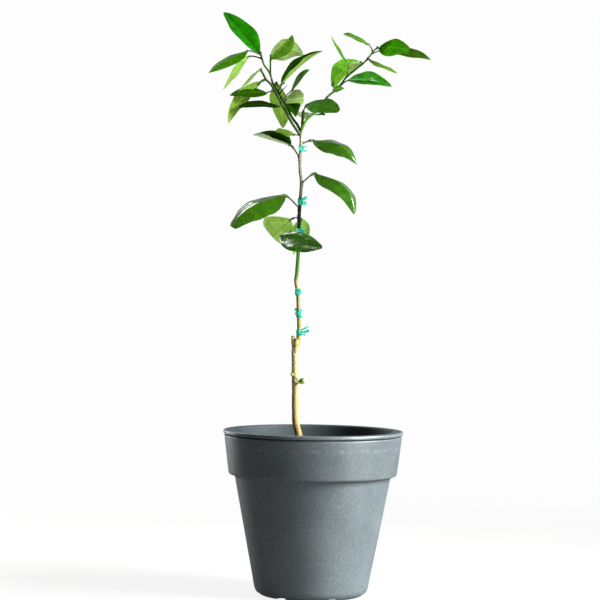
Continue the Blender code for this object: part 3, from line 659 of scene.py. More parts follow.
# %% Named leaves and the solids that they belong to
Leaf = namedtuple("Leaf", "carrier height stalk blade bend upper under")
LEAVES = {
    "L1": ("scion", 539, (32, 215, 34), (90, 50, 202, -31, -33), (0.12, -22, 0.01), "waxed", "pale"),
    "L2a": ("scion", 527, (17, 135, -10), (90, 57, 108, -14, 45), (-0.02, -14, 0.0), "mid", "lit"),
    "L2b": ("scion", 522, (12.5, 72, 16), (70, 30, 103, -45, -5), (0.06, 0, 0.05), "mid", "lit"),
    "L3": ("scion", 501, (28, 203, -2), (84, 36, 315, -12, 46), (0.0, -8, 0.03), "polished", "pale"),
    "L4": ("scion", 574, (25, 335, 35), (88, 47, 326, -41, 12), (0.20, -24, -0.03), "polished", "sage"),
    "L5": ("scion", 629, (19, 20, 20), (77, 38, 334, -27, 34), (0.20, -24, 0.0), "polished", "sage"),
    "L6": ("scion", 609, (25, 145, 50), (77, 38, 137, 14, -14), (0.0, 34, 0.0), "deep", "ash"),
    "L7": ("scion", 640, (13, 140, 15), (58, 29, 119, 6, 20), (-0.08, 32, 0.0), "deep", "moss"),
    "M5": ("left", 680, (6, 210, 0), (70, 27, 217, -6, -25), (0.05, 4, 0.0), "night", "sage"),
    "C1": ("middle", 713, (10, 65, 35), (78, 33, 80, -50, 22), (0.02, -8, 0.02), "mid", "moss"),
    "C2": ("middle", 688, (8, 75, 42), (62, 28, 66, 9, -88), (-0.02, -16, 0.0), "mid", "sage"),
    "C3": ("middle", 681, (9, 295, 35), (40, 22, 285, -32, 8), (0.12, 18, 0.0), "deep", "sage"),
    "C4": ("middle", 705, (12, 30, 60), (77, 31, 12, 40, 15), (0.05, 36, 0.0), "deep", "pale"),
    "C5": ("middle", 692, (20, 320, 40), (56, 22, 300, 26, 68), (0.05, 4, 0.0), "mid", "pale"),
    "T1": ("middle", 757, (4, 200, 10), (87, 36, 145, 45, -25), (0.02, 12, 0.0), "bright", "pale"),
    "T2": ("top_shoot", 750, (3, 270, 5), (68, 31, 299, 24, -168), (0.01, 22, 0.02), "soft", "pale"),
    "T3": ("top_shoot", 749, (9, 95, 62), (70, 31, 48, 6, -78), (0.02, 6, 0.12), "mid", "sage"),
    "T4": ("middle", 755, (22, 208, 12), (66, 27, 200, -31, -34), (0.06, -24, 0.01), "mid", "pale"),
    "T5": ("middle", 750, (22, 150, 12), (68, 27, 135, -39, 118), (0.01, -14, 0.0), "lime", "lit"),
    "M1": ("left", 728, (5, 280, 15), (61, 24, 232, -36, 36), (0.02, 0, 0.0), "soft", "moss"),
    "M3": ("left", 716, (9, 190, -28), (80, 33, 215, -50, 56), (0.09, 8, 0.0), "mid", "moss"),
    "M4": ("left", 701, (11, 185, -15), (64, 23, 218, -8, -42), (0.04, 2, 0.0), "deep", "sage"),
    "R0b": ("fork_shoot", 667, (5, 75, -20), (33, 24, 100, 22, 8), (0.04, 14, 0.0), "pearl", "ash"),
    "R1": ("fork_shoot", 675, (14, 300, 42), (73, 30, 307, -12, 44), (0.03, -6, -0.04), "mid", "sage"),
    "R1b": ("fork_shoot", 672, (22, 35, 2), (27, 11, 60, 3, -15), (0.04, 4, 0.0), "deep", "deep"),
    "R2": ("right", 707, (9, 215, -20), (25, 10, 308, 0, 80), (0.06, 4, 0.0), "mid", "sage"),
    "R3a": ("right", 704, (16, 110, 35), (74, 34, 50, 30, -78), (0.10, 22, 0.02), "lime", "spring"),
    "R3b": ("right", 741, (8, 100, 38), (40, 16, 114, -16, 10), (0.06, 12, 0.0), "lime", "cream"),
    "R4": ("right", 723, (13, 300, 78), (58, 23, 236, 41, 140), (0.03, -10, 0.0), "lime", "pale"),
    "R5": ("right", 760, (13, 150, 58), (56, 22, 132, 20, 30), (0.04, 0, 0.0), "lime", "spring"),
    "R6": ("right", 765, (5, 325, 10), (61, 28, 310, -9, 66), (0.06, -6, -0.02), "grass", "pale"),
    "R7": ("right", 757, (20, 30, 17), (71, 28, 340, -12, 33), (0.06, 4, 0.0), "olive", "pale"),
    "R8": ("right", 748, (6, 305, 0), (59, 24, 314, -24, 2), (0.02, -8, 0.0), "soft", "pale"),
    "R9": ("right", 710, (15, 340, 30), (69, 27, 329, -10, 54), (0.07, 28, 0.0), "fresh", "pale"),
}
LEAVES = {name: Leaf(*row) for name, row in LEAVES.items()}
LEAF_GROUPS = {
    "foliage_left": ["M1", "M3", "M4"],
    "foliage_top": ["T1", "T2", "T3", "T4", "T5"],
    "foliage_right": ["R2", "R3a", "R3b", "R4", "R5", "R6", "R7", "R8", "R9"],
    "foliage_fork": ["R0b", "R1", "R1b"],
}
for number, name in enumerate(["L1", "L2a", "L2b", "L3", "L4", "L5", "L6", "L7"], 1):
    LEAF_GROUPS[f"leaf_stem_{number}"] = [name]
LEAF_GROUPS["leaf_left_low"] = ["M5"]
for number in range(1, 6):
    LEAF_GROUPS[f"leaf_centre_{number}"] = [f"C{number}"]
print("leaves:", len(LEAVES), "in", len(LEAF_GROUPS), "groups")

# %% [markdown]
# ## Young bark
# Below the graft the bark is two years old: straw-coloured cork with fine lengthwise cracks and
# dark pores. Above it the bark is a waxy green skin, smooth but for a swelling under each leaf.
# The colour is read from height through two ramps, one painted in shade and one painted lit, and
# they are mixed by the way the skin itself faces on the plant, with streaks to break the line: the
# side towards +X, where the key lamp stands, is painted light and the other side painted shade.

# %% Bark finishes
WANDER_MM, FIBRE_MM, PORE_MM = 9, 0.9, 2.6


def bark_finish(name, stops, turn, roughness, streak, dark, cracks, low=200.0, high=660.0):
    """Bark whose colour is read from height on each side: stops are (height in mm, shade hex, lit hex).

    The side where the skin's own +X direction passes from turn[0] to turn[1] is painted lit, the other
    side painted in shade. Streaks run along the stem."""
    made, tree, at = finish(name, stops[0][1], roughness, ior=1.45, gloss=0.1)
    wander = node(tree, "TexNoise", {"Vector": at, "Scale": 1 / (WANDER_MM * MM), "Detail": 2.0})
    shift = node(tree, "MapRange", {0: wander, 3: -WANDER_MM * MM, 4: WANDER_MM * MM})
    height = node(tree, "SeparateXYZ", {0: at}).outputs["Z"]
    moved = node(tree, "Math", {0: height, 1: shift}, operation="ADD")
    share = node(tree, "MapRange", {0: moved, 1: low * MM, 2: high * MM})
    drawn = node(tree, "Mapping", {"Vector": at, "Scale": (1, 1, streak)})
    size = {"Scale": 1 / (FIBRE_MM * MM), "Detail": 3.0, "Roughness": 0.6}
    fibre = node(tree, "TexNoise", {"Vector": drawn, **size})
    faces = node(tree, "SeparateXYZ", {0: node(tree, "TexCoord", {}).outputs["Normal"]}).outputs["X"]
    ragged = node(tree, "Math", {0: fibre, 1: 0.5, 2: faces}, operation="MULTIPLY_ADD")
    # Painted light and shade: skin facing +X takes the lit ramp, the rest the shade ramp.
    edge = {0: ragged, 1: turn[0] + 0.25, 2: turn[1] + 0.25}
    lit_side = node(tree, "MapRange", edge, interpolation_type="SMOOTHSTEP")
    heights, *sides = zip(*stops)
    places = [(stop - low) / (high - low) for stop in heights]
    shade, lit_ramp = (node(tree, "ValToRGB", {"Fac": share}, zip(places, codes)) for codes in sides)
    aged_and_lit = node(tree, "Mix", {"Factor": lit_side, 6: shade, 7: lit_ramp}, data_type="RGBA").outputs[2]
    depth = node(tree, "MapRange", {0: fibre, 1: 0.42, 2: 0.62, 3: dark, 4: 1.08})
    pores = node(tree, "TexVoronoi", {"Vector": at, "Scale": 1 / (PORE_MM * MM)})
    pore = node(tree, "MapRange", {0: pores, 1: 0.12, 2: 0.22, 3: dark, 4: 1.0})
    both = node(tree, "Math", {0: depth, 1: pore}, operation="MULTIPLY")
    worn = node(tree, "Mix", {"Factor": 1.0, 6: aged_and_lit, 7: both}, **TIMES).outputs[2]
    return wear(made, worn, both, cracks, 0.3)


# Each stop's second code paints the bark in shade, its third paints it lit.
rootstock_bark = bark_finish(
    "corky straw-coloured bark",
    [(204, "#3e2a06", "#7d6238"), (216, "#543a06", "#a88a50"), (226, "#745008", "#bca468"),
     (300, "#8c6406", "#c8ba8c"), (335, "#84620a", "#c8ba8c"), (352, "#686004", "#bcae78")],
    (-1.0, -0.4), 0.78, 0.16, 0.62, 0.8,
)
scion_bark = bark_finish(
    "waxy green bark turning olive",
    [(338, "#4a4a04", "#a89c58"), (365, "#485004", "#8c9048"), (400, "#584c04", "#8c9050"),
     (432, "#744e08", "#a4985c"), (442, "#345004", "#5c7a34"), (455, "#1c4c00", "#44702c"),
     (496, "#143c00", "#2c6414"), (506, "#0a1800", "#101c02"), (546, "#0a1800", "#1c2406"),
     (556, "#182400", "#7a7a60"), (590, "#1c2800", "#a6a688"), (640, "#243000", "#aaa88e"),
     (655, "#1c2a04", "#6f7458")],
    (-0.5, 0.15), 0.42, 0.2, 0.75, 0.35,
)
# One shoot bark in two copies: painted in shade for the left and middle boughs, painted lit for the right.
shaded_bough_bark = bark_finish(
    "shaded green shoot bark",
    [(640, "#162404", "#4a6a2a"), (668, "#0e1c02", "#345a10"), (700, "#0e2002", "#305010"),
     (722, "#142404", "#34500e"), (742, "#183402", "#44701a"), (756, "#2c5c0c", "#6fa438"),
     (775, "#3c6c10", "#82b844")],
    (-0.2, 0.6), 0.5, 0.25, 0.8, 0.2, low=630.0, high=780.0,
)
lit_bough_bark = bark_finish(
    "sunlit green shoot bark",
    [(640, "#2c4a08", "#5f8c2c"), (662, "#3a6410", "#6a9c36"), (690, "#2c5008", "#66943a"),
     (716, "#0c1c02", "#3c6014"), (742, "#102404", "#3c661a"), (756, "#2e6a10", "#66a82e"),
     (775, "#387812", "#70b434")],
    (-0.4, 0.4), 0.5, 0.25, 0.8, 0.2, low=630.0, high=780.0,
)
# A cut face dries to a matt straw yellow with brown blotches.
cut_wood = grained("dried cut wood", "#b99a62", 0.85, 1.1, 3.0, [(0.36, "#6a3c10"), (0.6, "#b8883c")])
print("bark finishes:", [made.name for made in (rootstock_bark, scion_bark, shaded_bough_bark, lit_bough_bark)])


# %% A tube whose skin has relief
def unit(v):
    """Vectors of length 1: v / |v|."""
    return v / np.linalg.norm(v, axis=-1, keepdims=True)


def frames(route):
    """Unit vectors beside and across a route: beside = along x a fixed axis, across = along x beside."""
    along = unit(np.gradient(route, axis=0))
    fixed = np.eye(3)[np.argmin(np.abs(along).max(axis=0))]
    beside = unit(np.cross(along, fixed))
    return beside, np.cross(along, beside)


def tube(route, radii, sides=16, relief=None, squash=1.0, worn=0):
    """Rings c + (R + relief)(beside cos a + across squash sin a) round each point c of a route, closed."""
    beside, across = frames(route)
    turn = angles(sides)[None, :, None]
    out = beside[:, None] * np.cos(turn) + across[:, None] * np.sin(turn) * squash
    rings = route[:, None] + out * np.asarray(radii)[:, None, None]
    if relief:
        rings = rings + out * relief(rings)[..., None]
    return loft(rings, route[0], route[-1], worn)


def swellings(points, places, reach, push):
    """Relief of a bump at each place, at the points of rings: push x exp(-(distance / reach)^2)."""
    total = np.zeros(points.shape[:2])
    for place in places:
        total += push * np.exp(-((np.linalg.norm(points - place, axis=-1) / reach) ** 2))
    return total


print("a test tube has", len(tube(routes["scion"], np.full(len(routes["scion"]), 2.0))["quads"]), "quads")

# %% [markdown]
# ## The stem
# Tubes make the stem. The rootstock is thick, cracked and cut off above the graft, where a blunt
# horn of old wood stands up beside the new stem, with its cut face bare. The scion starts inside
# that cut, and a lip of callus swells over its foot. Dormant buds sit on it 137.5 degrees apart,
# the step of a plant that sets its leaves in a spiral, and each leaf's stalk has a shoulder.

# %% Rootstock, horn and scion with their relief
SPIRAL_STEP, FIRST_BUD = 137.5, 20
stem_leaves = [leaf for leaf in LEAVES.values() if leaf.carrier == "scion"]
shoulders = [
    at_height(routes["scion"], leaf.height) + 2.4 * direction(leaf.stalk[1], 0) - (0, 0, 1.6)
    for leaf in stem_leaves
]
bud_heights = np.concatenate([np.arange(378, 500, 19.5), np.arange(556, 650, 17.0)])
bud_turns = np.arange(len(bud_heights)) * SPIRAL_STEP + FIRST_BUD
buds = [at_height(routes["scion"], h) + 2.7 * direction(t, 0) for h, t in zip(bud_heights, bud_turns)]


def cork(points):
    """Lengthwise cracks, from noise drawn out eight times along +Z and folded at zero, plus slow waves."""
    cracks = 0.34 * np.abs(smooth_noise(points * (1, 1, 0.12), 1.5, 21)) - 0.2
    return cracks + 0.3 * smooth_noise(points, 9.0, 22) + 0.12 * smooth_noise(points, 2.2, 23)


def skin(points):
    """Smooth young bark: shoulders under stalks, dormant buds, and faint ribs that run down the stem."""
    ribs = 0.07 * smooth_noise(points * (1, 1, 0.06), 1.4, 31) + 0.1 * smooth_noise(points, 14.0, 32)
    return ribs + swellings(points, shoulders, 3.0, 0.8) + swellings(points, buds, 1.7, 0.4)


def rising(points, step, radii, sides, relief):
    """A tube along a smooth route through the points, its radii read from its heights."""
    route = smooth_route(points, step)
    return tube(route, radii_at(route[:, 2], radii), sides, relief)


horn_end = smooth_route(HORN, 0.6)[-2:]
cut_face = horn_end[1] + np.outer((-0.4, 0.25, 0.6), horn_end[1] - horn_end[0])
lip = smooth_route(CALLUS, 0.6)[-4:] + (0, -0.15, 0.2)
stem = [
    rising(ROOTSTOCK, 0.9, ROOTSTOCK_RADII, 44, cork),
    rising(HORN, 0.6, HORN_RADII, 30, cork),
    rising(CALLUS, 0.6, CALLUS_RADII, 30, cork),
    tube(cut_face, np.array([2.3, 2.4, 1.9]), 30, cork, worn=1),
    tube(lip, radii_at(lip[:, 2], CALLUS_RADII) + 0.1, 30, cork, worn=1),
]
piece("rootstock_bark", stem, [rootstock_bark, cut_wood], ["trunk"])
piece("scion_bark", [rising(SCION, 1.0, SCION_RADII, 32, skin)], [scion_bark], ["trunk"])

# %% [markdown]
# ## Boughs
# The boughs are last season's growth: round, green, slightly zigzag, with a shoulder where each
# stalk leaves. One thorn stands on the middle bough, as citrus carries them beside its buds.
# Each bough goes on as a shoot through its leaves, so it is split where its solids are split.


# %% Boughs, shoots and the thorn
def stretch(route, low, high):
    """The part of a rising route between two heights, with exact ends."""
    inside = route[(route[:, 2] > low + 0.3) & (route[:, 2] < high - 0.3)]
    return np.vstack([at_height(route, low), inside, at_height(route, high)])


def shoot(name, low=None, high=None, sides=20):
    """A bough or shoot of the table between two heights, with a swelling under every stalk on it."""
    whole = smooth_route(BOUGHS[name], 0.9)
    route = stretch(whole, low or whole[0, 2], high or whole[-1, 2])
    borne = [leaf for leaf in LEAVES.values() if leaf.carrier == name]
    roots = [at_height(whole, leaf.height) + 1.2 * direction(*leaf.stalk[1:]) for leaf in borne]

    def relief(points):
        """Swellings where stalks leave, plus faint waves of noise drawn out along +Z."""
        waves = 0.09 * smooth_noise(points * (1, 1, 0.3), 1.6, 41)
        return swellings(points, roots, 2.0, 0.55) + waves

    return tube(route, radii_at(route[:, 2], BOUGH_RADII), sides, relief)


# The right bough wears the copy painted lit, the others the copy painted in shade.
BOUGH_FINISHES = {"left": shaded_bough_bark, "middle": shaded_bough_bark, "right": lit_bough_bark}
t = np.linspace(0, 1, 12)
thorn_r = (1 - t) ** 0.8 + 0.07
thorn_r[0] *= 1.3
thorn_root = at_height(routes["middle"], THORN_Z)
thorn = tube(thorn_root + np.outer(t, direction(*THORN_AIM)) * THORN_LENGTH, thorn_r, 10)
for carrier, bark in BOUGH_FINISHES.items():
    parts = [shoot(carrier, None, BOUGH_ENDS[carrier])] + [thorn] * (carrier == "middle")
    piece(f"bough_{carrier}_bark", parts, [bark], [f"bough_{carrier}"])

# %% [markdown]
# ## Leaf finishes
# A citrus leaf has a thick waxy skin above, dark and glossy, with the midrib as a thin pale
# groove and side veins about 6.5 mm apart that run forward to the edge. Below it is a pale, matt
# grey-green with the same veins standing proud. Old leaves are deepest, young ones are yellow
# green, and each leaf is given one base colour for each face; these base colours also carry
# painted light and shade, lighter on leaves with light shining through them and darker on leaves
# in shade. The veins are drawn from the leaf's own map, which holds millimetres from the midrib
# and from the stalk.

# %% Leaf finishes
VEIN_SPACING_MM, VEIN_SLANT, VEIN_SHOW = 6.5, 0.9, 0.35
LEAF_PATCH_MM, LEAF_CELL_MM = 9, 5.0


def leaf_finish(name, colour, vein, roughness, gloss, relief, vein_show=VEIN_SHOW, mottle=0.28):
    """Leaf skin: a side vein lies where (along - slant |across|) / spacing is whole, the midrib at 0."""
    made, tree, at = finish(name, colour, roughness, 1.46, gloss)
    flat = node(tree, "UVMap", {}, uv_map="in_mm").outputs["UV"]
    split = node(tree, "SeparateXYZ", {0: flat}).outputs
    aside = node(tree, "Math", {0: split["X"]}, operation="ABSOLUTE")
    slant = node(tree, "Math", {0: aside, 1: -VEIN_SLANT, 2: split["Y"]}, operation="MULTIPLY_ADD")
    sway = node(tree, "TexNoise", {"Vector": at, "Scale": 1 / (LEAF_PATCH_MM * MM), "Detail": 1.0})
    drift = node(tree, "MapRange", {0: sway, 1: 0.25, 2: 0.75, 3: -0.45, 4: 0.45})
    turns = node(tree, "Math", {0: slant, 1: 1 / VEIN_SPACING_MM, 2: drift}, operation="MULTIPLY_ADD")
    near = node(tree, "Math", {0: turns, 1: 0.5}, operation="PINGPONG")
    side_vein, midrib = (
        node(tree, "MapRange", dict(enumerate(feeds)), interpolation_type="SMOOTHSTEP")
        for feeds in ((near, 0.02, 0.13, 0.4, 0.0), (aside, 0.35, 0.95, 1.0, 0.0))
    )
    veins = node(tree, "Math", {0: side_vein, 1: midrib}, operation="MAXIMUM")
    shown = node(tree, "Math", {0: veins, 1: vein_show}, operation="MULTIPLY")
    patches = node(tree, "TexNoise", {"Vector": at, "Scale": 1 / (LEAF_PATCH_MM * MM), "Detail": 3.0})
    light = node(tree, "MapRange", {0: patches, 1: 0.3, 2: 0.7, 3: 1 - mottle, 4: 1 + mottle})
    base = node(tree, "Mix", {"Factor": 1.0, 6: linear(colour), 7: light}, **TIMES).outputs[2]
    veined = node(tree, "Mix", {"Factor": shown, 6: base, 7: linear(vein)}, data_type="RGBA")
    cells = node(tree, "TexNoise", {"Vector": at, "Scale": 1 / (LEAF_CELL_MM * MM), "Detail": 2.0})
    return wear(made, veined.outputs[2], cells, relief, 0.5)


# Some rows are painted light and shade: lime, bright and the lit underside paint light shining through
# backlit leaves, and the darkest upper face paints a leaf in shade.
UPPER_COLOURS = {  # colour, vein, roughness, gloss, relief
    "polished": ("#2b5808", "#5f8a34", 0.18, 1.0, 0.5), "waxed": ("#2b5606", "#5f8a34", 0.2, 0.6, 0.5),
    "night": ("#102802", "#3f6a1c", 0.5, 0.0, 0.2), "deep": ("#1f4402", "#4f7a28", 0.5, 0.0, 0.25),
    "mid": ("#336a04", "#6f9a3c", 0.5, 0.04, 0.25), "olive": ("#2e5202", "#5f8430", 0.5, 0.04, 0.25),
    "soft": ("#55861a", "#98bc60", 0.55, 0.02, 0.2), "grass": ("#2f7602", "#63a838", 0.5, 0.0, 0.2),
    "bright": ("#1f7e02", "#1c6a06", 0.4, 0.15, 0.12), "fresh": ("#237404", "#7cc04c", 0.28, 0.5, 0.4),
    "lime": ("#4f8a08", "#a5cf62", 0.45, 0.05, 0.2), "pearl": ("#86a068", "#b4c4a0", 0.5, 0.3, 0.2),
}
UNDER_COLOURS = {  # colour, vein
    "moss": ("#5c7e24", "#93ad5a"), "sage": ("#6f8b44", "#a3b886"), "spring": ("#4c8a08", "#8cbc50"),
    "pale": ("#84aa48", "#b7cf92"), "lit": ("#8cb84c", "#5c8626"), "cream": ("#aacc74", "#c8dca4"),
    "ash": ("#93a878", "#bccbaa"),
}
UNDER_LOOK = (0.6, 0.06, 0.3, 0.6, 0.2)  # roughness, gloss, relief, veins' share, mottle
leaf_finishes = {key: leaf_finish(f"waxy leaf face, {key}", *row) for key, row in UPPER_COLOURS.items()}
for key, pair in UNDER_COLOURS.items():
    leaf_finishes[key] = leaf_finish(f"matt leaf underside, {key}", *pair, *UNDER_LOOK)
stalk_shades, scale_shades = [(0.38, "#1c2e08"), (0.66, "#4a6c1c")], [(0.4, "#10140a"), (0.66, "#2c3412")]
# A stalk is a dull, blotched green, and the dried scales of a bud are nearly black.
stalk_green = grained("green leaf stalk", "#4f7029", 0.45, 2.4, 2.0, stalk_shades, ior=1.45)
bud_scales = grained("dark bud scales", "#161c08", 0.6, 0.8, 2.0, scale_shades)
print("leaf finishes:", len(leaf_finishes))

# %% [markdown]
# ## A leaf blade
# A blade is a flat ring carried from stalk to tip. Its outline is an oval that is fullest just
# before the middle. The spine arches, the halves fold up or down at the midrib and swell a
# little between midrib and edge, the edge waves, and the skin dips along the veins. All of it is
# a function of u, from stalk to tip, and v, from edge to edge, so it is computed at once.

# %% The blade as a function of u and v
LEAF_THICKNESS, BEND_SKEW, SCALLOP_MM, QUILT_MM = 0.5, 0.4, 7.3, 0.14
ACROSS, ALONG = 27, 64
PLAIN = (0.8, 12.0, 0.0, 0.2)
SURFACES = {  # how far the skin buckles and its cell, the groove's depth, the tip's bluntness
    "L1": (1.2, 6.0, 0.0, 0.6), "L3": (1.2, 6.0, 0.22, 0.35), "L4": (1.7, 8.0, 0.0, 0.3),
    "L5": (1.6, 8.0, 0.0, 0.2), "R9": (1.0, 6.0, 0.0, 0.2), "R6": (0.8, 12.0, 0.0, 0.6),
    "R1": (0.8, 10.0, 0.05, 0.5), "T1": (0.6, 14.0, 0.06, 0.35), "C2": (0.8, 12.0, 0.0, 0.55),
    "R3a": (0.8, 12.0, 0.0, 0.45),
}


def blade_outline(u, blunt):
    """Half width, 1 at its greatest: sin(pi u^0.88)^(0.85 - blunt (u^3 + (1-u)^4 / 2)) (1 - u^6 / 4)."""
    return np.sin(np.pi * u**0.88) ** (0.85 - blunt * (u**3 + 0.5 * (1 - u) ** 4)) * (1 - 0.25 * u**6)


def blade_axes(heading, rise, roll):
    """Ahead, up and across of a blade: up is the level normal turned about ahead by the roll."""
    ahead = direction(heading, rise)
    level = unit((0, 0, 1.0) - ahead * ahead[2])
    up = level * np.cos(np.radians(roll)) + np.cross(ahead, level) * np.sin(np.radians(roll))
    return ahead, up, np.cross(ahead, up)


def folded(low, top):
    """Rings that go back along the rows of low and out along the rows of top."""
    return np.concatenate([low[:, :0:-1], top[:, :-1]], axis=1)


def blade(base, sizes, bend, seed, upper=0, under=1, across=ACROSS, along=ALONG, surface=PLAIN):
    """A closed leaf: spine + w (v cos f out + |v| sin f normal) + (swell + wave + ... +- t/2) normal.

    spine = base + u L ahead + 4u(1-u)(1 + 0.4(2u-1)) L (arch up + sweep across), w is the half width and
    f the fold."""
    length, width, *aim = sizes
    arch, fold, sweep = bend
    buckled, cell, cup, blunt = surface
    ahead, up, aside = blade_axes(*aim)
    rng = np.random.default_rng(seed)
    u = np.sin(np.linspace(0, np.pi / 2, along)) ** 1.15
    v = np.sin(np.linspace(-np.pi / 2, np.pi / 2, across))
    v = np.sign(v) * np.abs(v) ** 1.25
    bow = 4 * u * (1 - u) * (1 + BEND_SKEW * (2 * u - 1))
    spine = base + np.outer(u, ahead) * length + np.outer(bow, up * arch + aside * sweep) * length
    run = unit(np.gradient(spine, u, axis=0))
    normal = unit(up - run * (run @ up)[:, None])
    out = np.cross(run, normal)
    half = np.maximum(width / 2 * blade_outline(np.clip(u, 0.012, 0.992), blunt), 0.5)[:, None]
    scallop = 1 + 0.006 * np.sin(2 * np.pi * u * length / SCALLOP_MM + rng.uniform(0, 6))[:, None]
    aside_mm = v * half * scallop
    along_mm = (u * length)[:, None] + 0 * aside_mm
    full = np.clip(half / (width / 2), 0, 1)
    reach = np.clip(np.abs(v), 0, 1)
    waves = rng.uniform(1.6, 2.6, 2)
    starts = rng.uniform(0, 6, 2)
    left, right = (np.sin(2 * np.pi * w * u + s)[:, None] for w, s in zip(waves, starts))
    wave = np.where(v < 0, left, right) * reach**2 * full * width * 0.022
    swell = 0.05 * half * np.sin(np.pi * reach) * (1 if fold >= 0 else 0.4)
    phase = (along_mm - VEIN_SLANT * np.abs(aside_mm)) / VEIN_SPACING_MM
    between = np.abs(phase - np.round(phase)) * 2
    quilt = QUILT_MM * (between - 0.5) * full * np.sin(np.pi * reach) ** 0.6
    patch = np.stack([aside_mm, along_mm * 0.45, 0 * aside_mm], axis=-1)
    buckle = smooth_noise(patch, cell, seed) * buckled * full * (0.35 + 0.65 * reach)
    rib = np.exp(-((aside_mm / 0.9) ** 2)) * (1 - 0.7 * u[:, None])
    lift = np.radians(fold)
    rim = np.abs(aside_mm) * np.sin(lift) + cup * half * (1 - np.exp(-((v / 0.45) ** 2)))
    middle = spine[:, None] + out[:, None] * (aside_mm * np.cos(lift))[..., None]
    middle = middle + normal[:, None] * (rim + swell + wave + quilt + buckle)[..., None]
    thick = LEAF_THICKNESS / 2 * np.sqrt(1 - reach**6) * np.minimum(1, 0.4 + full)
    top = middle + normal[:, None] * (thick - 0.32 * rib)[..., None]
    low = middle - normal[:, None] * (thick + 0.55 * rib)[..., None]
    flat = np.stack([aside_mm, along_mm], axis=-1)
    worn = np.repeat([under, upper], across - 1)
    foot, tip = spine[0] - run[0] * 0.3, spine[-1] + run[-1] * 0.4
    return loft(folded(low, top), foot, tip, worn, folded(flat, flat), [(0, 0), (0, length)])


trial = blade(np.zeros(3), (80, 35, 0, 0, 0), (0.1, 10, 0), 1)
print("one blade has", 2 * len(trial["quads"]) + len(trial["tris"]), "triangles")

# %% [markdown]
# ## Stalks
# A citrus stalk is round with a hint of a wing, thickest where it joins the stem, and it meets
# the blade in a joint at which old leaves break off. A bud sits in the angle above it. Each
# is a short tube with its own radii, and the stalk's end is sunk into the midrib.

# %% Stalk, joint and bud
WING_MM, WINGED_MM, BUD_LENGTH, BUD_RISE = 4.0, 70, 3.0, 60


def bell(distance, reach):
    """Bell curve exp(-(distance / reach)^2)."""
    return np.exp(-((distance / reach) ** 2))


def stalk_parts(leaf):
    """The blade's base, and a stalk through a root, a raised middle and that base, with a bud on the root."""
    length, heading, rise = leaf.stalk
    root = at_height(routes[leaf.carrier], leaf.height)
    base = root + direction(heading, rise) * length
    blade_length, _, *aim = leaf.blade
    ahead, up, _ = blade_axes(*aim)
    sunk = base + ahead * blade_length * 0.075 - up * 0.15
    middle = root + (base - root) * 0.55 + np.array([0, 0, 0.06 * length])
    route = smooth_route([root, middle, base, sunk], 0.8)
    to_base, to_root = (np.linalg.norm(route - end, axis=1) for end in (base, root))
    thin = min(1.12, 0.6 + blade_length / 150)
    wing = bell(to_base - WING_MM, 2.6) * (blade_length > WINGED_MM)
    radii = thin * (1.0 + 0.55 * bell(to_root, 2.4) + 0.4 * bell(to_base, 1.1) + 0.8 * wing)
    radii *= np.where(np.linspace(0, 1, len(route)) > 0.97, 0.6, 1)
    clear = 2.0 if leaf.carrier == "scion" else 1.0
    bud_root = root + direction(heading, 0) * clear + np.array([0, 0, 1.2])
    t = np.linspace(0, 1, 9)
    bud_r = 1.1 * thin * np.sqrt(np.clip(1 - t**1.6, 0, 1)) * (0.8 + 0.5 * np.sin(np.pi * t)) + 0.05
    bud = tube(bud_root + np.outer(t, direction(heading, BUD_RISE)) * BUD_LENGTH * thin, bud_r, 10, worn=1)
    return base, [tube(route, radii, 12, squash=0.86), bud]


# %% Dress every group of leaves
for group, names in LEAF_GROUPS.items():
    blades, stalks = [], []
    worn = {finish_name for name in names for finish_name in LEAVES[name][-2:]}
    worn = [finish_name for finish_name in leaf_finishes if finish_name in worn]
    for name in names:
        leaf = LEAVES[name]
        base, parts = stalk_parts(leaf)
        stalks += parts
        sides = worn.index(leaf.upper), worn.index(leaf.under)
        seed = sum(map(ord, name))
        blades.append(blade(base, leaf.blade, leaf.bend, seed, *sides, surface=SURFACES.get(name, PLAIN)))
    piece(f"{group}_blades", blades, [leaf_finishes[finish_name] for finish_name in worn], [group])
    piece(f"{group}_stalks", stalks, [stalk_green, bud_scales], [group])

# %% Shoots that carry the leaves
for group, carrier in {"foliage_left": "left", "foliage_top": "middle", "foliage_right": "right"}.items():
    parts = [shoot(carrier, BOUGH_ENDS[carrier] + GAP * 1.4)]
    parts += [shoot("top_shoot")] * (group == "foliage_top")
    piece(f"{group}_shoots", parts, [BOUGH_FINISHES[carrier]], [group])
piece("foliage_fork_shoots", [shoot("fork_shoot")], [shaded_bough_bark], ["foliage_fork"])

# %% [markdown]
# ## Tape ties
# The grower's tape is a soft stretchy vinyl ribbon, wound twice, knotted and snipped, so each tie
# has a wrinkled collar, a small lump of a knot and tails that fan out. The collar is deep teal,
# partly for its stacked layers and partly as painted shade, and the tails light aqua, partly for
# their one layer and partly as painted light. A ribbon is a sheet with its two faces 0.25 mm
# apart, so it is lofted like a leaf, with a wrinkle from noise.

# %% Turquoise vinyl tape
TAPE_THICKNESS, TAPE_TURNS = 0.25, 2.15
tape_look = {"bump": (0.6, 0.5), "ior": 1.52, "gloss": 0.4}
